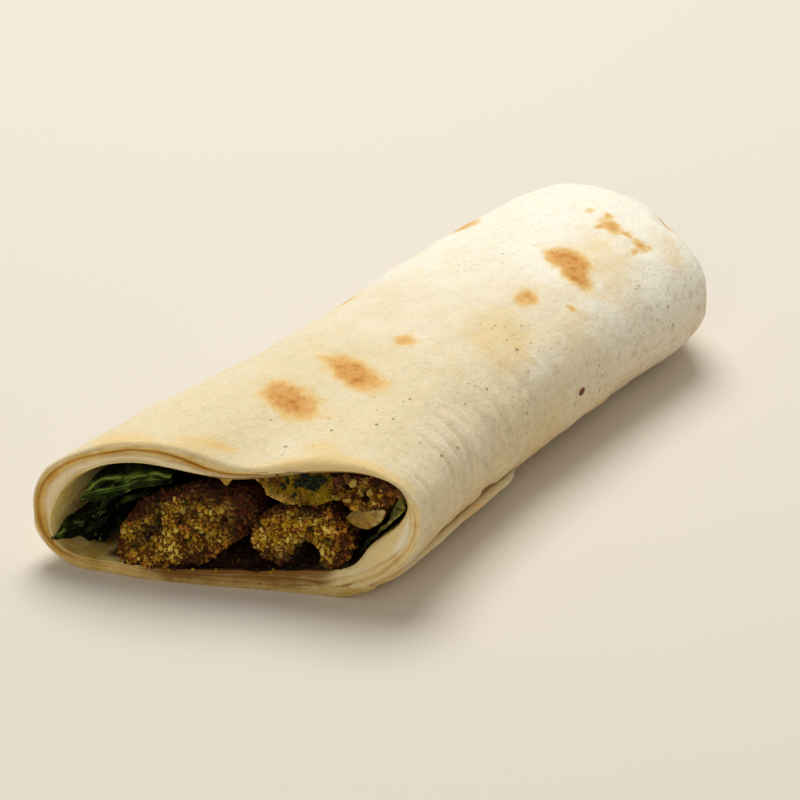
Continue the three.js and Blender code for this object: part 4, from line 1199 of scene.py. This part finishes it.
def onion_finish():
    """Moist flesh with fine streaks along it, darker at the rim."""
    onion = Finish("onion_flesh", 0.38, 0.35, 0.15, 0.0015, 0.1)
    streaks = onion.grain(1.2, 2, stretch=(6, 1, 1))
    colour = painted(
        (138, 98, 14),
        (streaks.ramp(0.35, 0.7), (180, 140, 48)),
        (onion.zone("rim") * 0.3, (96, 70, 14)),
        (onion.zone("olive") * 0.6, (92, 88, 20)),
        (onion.zone("creamy") * 0.8, (236, 206, 132)),
    )
    return onion.done(colour, streaks, 0.15)


hummus_material = hummus_finish()
hummus = new_piece("hummus", [filling_run(HUMMUS, 41, 130, 1.2, 0.8)])
settle(grown(hummus, 0.0009, 0.00055, 43, hummus_material), hummus_material, "hummus")
onion = new_piece("onion", [filling_run(ONION, 53, 90, 0.5, 0.25)])
settle(onion, onion_finish(), "onion")

# ---------------------------------------------------------------- herbs and crumbs
# Chopped herb on the hummus, and crumbs that the knife dragged out of the falafel onto the cut bread. Each
# lies on the face that carries it.

BED_FROM, BED_TO, BED_DEEP, BED_THICK = -26.5, 20.0, 13.0, 1.5
BED_ROWS, BED_COLUMNS = 26, 90
HERB_PLACES = [
    (9.2, 26.6), (10.2, 27.0), (11.0, 26.4), (11.9, 26.9), (12.6, 26.0), (11.4, 25.4), (10.4, 25.6),
    (12.2, 25.2), (11.2, 24.4), (13.3, 26.8), (9.4, 25.2), (10.2, 24.6), (8.4, 25.4), (7.8, 24.6),
    (5.4, 24.2), (8.0, 22.4), (6.2, 25.6),
]
CRUMB_PLACES = [
    (-26.4, 3.2), (-25.7, 3.6), (-23.1, 2.7), (-22.6, 3.3), (-18.8, 3.4), (-17.9, 2.8), (-13.0, 3.5),
    (-8.4, 3.7), (2.6, 4.3), (3.3, 4.7), (0.2, 1.5),
]
HERB_SIZE, CRUMB_SIZE = (0.78, 0.5, 0.3), (0.42, 0.3, 0.26)
BIT_ROWS, BIT_COLUMNS, BIT_LUMPINESS = 5, 10, 0.45


def crumb_bed():
    """A thin uneven bed of crumb on the bread under the falafel, from just inside the cut, painted dark with
    the shade under the balls.
    """
    across = np.linspace(BED_FROM, BED_TO, BED_COLUMNS)
    low_side = inner_flat[inner_flat[:, 1] < 12]
    low_side = low_side[np.argsort(low_side[:, 0])]
    floor = stacked(across, np.interp(across, *low_side.T))
    depth = np.linspace(0.4, BED_DEEP, BED_ROWS)[:, None]
    depth = depth + 1.2 * lumps(stacked(across, 0, 0), 4, 95) - bow_at(floor)
    edge = np.minimum(1, 4 * (1 - np.abs(np.linspace(-1, 1, BED_COLUMNS))))
    edge = edge * smoothstep(np.arange(BED_ROWS), -1, 4)[:, None]
    height = BED_THICK * (0.6 + 0.6 * lumps(stacked(across, depth, 0), 3, 96)) * edge
    high = inside(floor + (0.15 + np.maximum(height, 0.1))[..., None] * [0, 1], depth)
    low = inside(floor + np.full_like(depth, 0.1)[..., None] * [0, 1], depth)
    share = np.repeat([1.0, 0.0], BED_COLUMNS)
    # dark fried crumb, with painted shade under the falafel
    zones = {"cut_share": [share] * BED_ROWS, "crusted": 0.9, "pitted": 0.86}
    return tube(np.concatenate([high, low[:, ::-1]], axis=1), zones)


def bits(places, half_sizes, lift, seed, **zones):
    """Lumpy bits at places on the cut face, as parts."""
    draw = np.random.default_rng(seed)
    polar = np.linspace(0, math.pi, BIT_ROWS + 2)[1:-1, None]
    turn = np.linspace(0, 2 * math.pi, BIT_COLUMNS, endpoint=False)
    ball = stacked(np.sin(polar) * np.cos(turn), np.sin(polar) * np.sin(turn), np.cos(polar))
    unit = np.concatenate([ball.reshape(-1, 3), [UP, -UP]])
    held = {key: np.full(len(unit), value) for key, value in zones.items()}
    parts = []
    for place in places:
        spin, nod = draw.uniform(0, 2 * math.pi), draw.uniform(-0.5, 0.5)
        shape = unit * half_sizes * draw.uniform(0.6, 1.4, 3)
        shape = shape * (1 + BIT_LUMPINESS * lumps(unit * 3 + 10 * len(parts), 1.6, seed)[:, None])
        c, s = math.cos(spin), math.sin(spin)
        flat = stacked(shape[:, 0] * c - shape[:, 1] * s, shape[:, 0] * s + shape[:, 1] * c)
        out = shape[:, 2] + nod * flat[:, 0] * 0.5 + lift + bow_at(np.array(place))
        parts.append((at_cut(place + flat) + CUT_OUT * out[:, None], tube_faces(BIT_ROWS, BIT_COLUMNS), held))
    return parts


def herb_finish():
    """Chopped parsley, matt and nearly black green."""
    herb = Finish("chopped_herb", 0.7, 0.2)
    colour = painted((6, 9, 3), (herb.grain(0.6, 2).ramp(0.35, 0.7), (42, 54, 20)))
    return herb.done(colour, herb.grain(0.5, 2), 0.2)


bed = new_piece("floor_crumb", [crumb_bed()])
settle(grown(bed, 0.0012, 0.00055, 98, crumb_material), crumb_material)
herb_bits = new_piece("herb_bits", bits(HERB_PLACES, HERB_SIZE, 0.1, 91))
settle(herb_bits, herb_finish())
loose_crumbs = new_piece("loose_crumbs", bits(CRUMB_PLACES, CRUMB_SIZE, 0.15, 97, tone=0.3))
settle(loose_crumbs, crumb_material)

# ---------------------------------------------------------------- the table and the studio
# A plain pale floor, a broad soft light above the wrap's far left, a weaker one in front of the cut, and
# the camera, low on the right of the cut.

FLOOR_HALF = 3.0  # metres, as are all sizes in this section
CAMERA_PLACE = (-0.4954, -0.3429, 0.3477)
CAMERA_AIM = (-0.004, 0.001, 0.012)


def floor_mesh():
    corners = [(x * FLOOR_HALF, y * FLOOR_HALF, 0) for x, y in ((-1, -1), (1, -1), (1, 1), (-1, 1))]
    mesh = bpy.data.meshes.new("floor")
    mesh.from_pydata(corners, [], [(0, 1, 2, 3)])
    floor = bpy.data.objects.new("floor", mesh)
    bpy.context.scene.collection.objects.link(floor)
    finish = Finish("pale_floor", 0.8, 0.5)
    finish.sockets["Base Color"].default_value = paint((229, 222, 211))
    mesh.materials.append(finish.material)


def aimed(name, data, place, aim):
    """A light or camera at a place, turned to what it is aimed at."""
    thing = bpy.data.objects.new(name, data)
    thing.location = place
    thing.rotation_euler = (Vector(aim) - Vector(place)).to_track_quat("-Z", "Y").to_euler()
    bpy.context.scene.collection.objects.link(thing)
    return thing


def soft_light(name, place, aim, size, power, colour):
    light = bpy.data.lights.new(name, "AREA")
    light.shape, light.size, light.energy, light.color = "DISK", size, power, colour
    aimed(name, light, place, aim)


floor_mesh()
soft_light("key", (0.3, 0.28, 0.94), (0, 0, 0.02), 0.7, 8.7, (1.0, 0.98, 0.945))
soft_light("front", (-0.95, -0.35, 0.6), (-0.06, 0, 0.02), 0.6, 1.5, (1.0, 0.94, 0.84))
world = bpy.data.worlds.new("studio")
world.use_nodes = True
world.node_tree.nodes["Background"].inputs["Color"].default_value = (1.0, 0.945, 0.85, 1.0)
world.node_tree.nodes["Background"].inputs["Strength"].default_value = 0.31
bpy.context.scene.world = world
bpy.context.scene.view_settings.view_transform = "Standard"

camera_data = bpy.data.cameras.new("camera")
camera_data.lens = 146.0
bpy.context.scene.camera = aimed("camera", camera_data, CAMERA_PLACE, CAMERA_AIM)
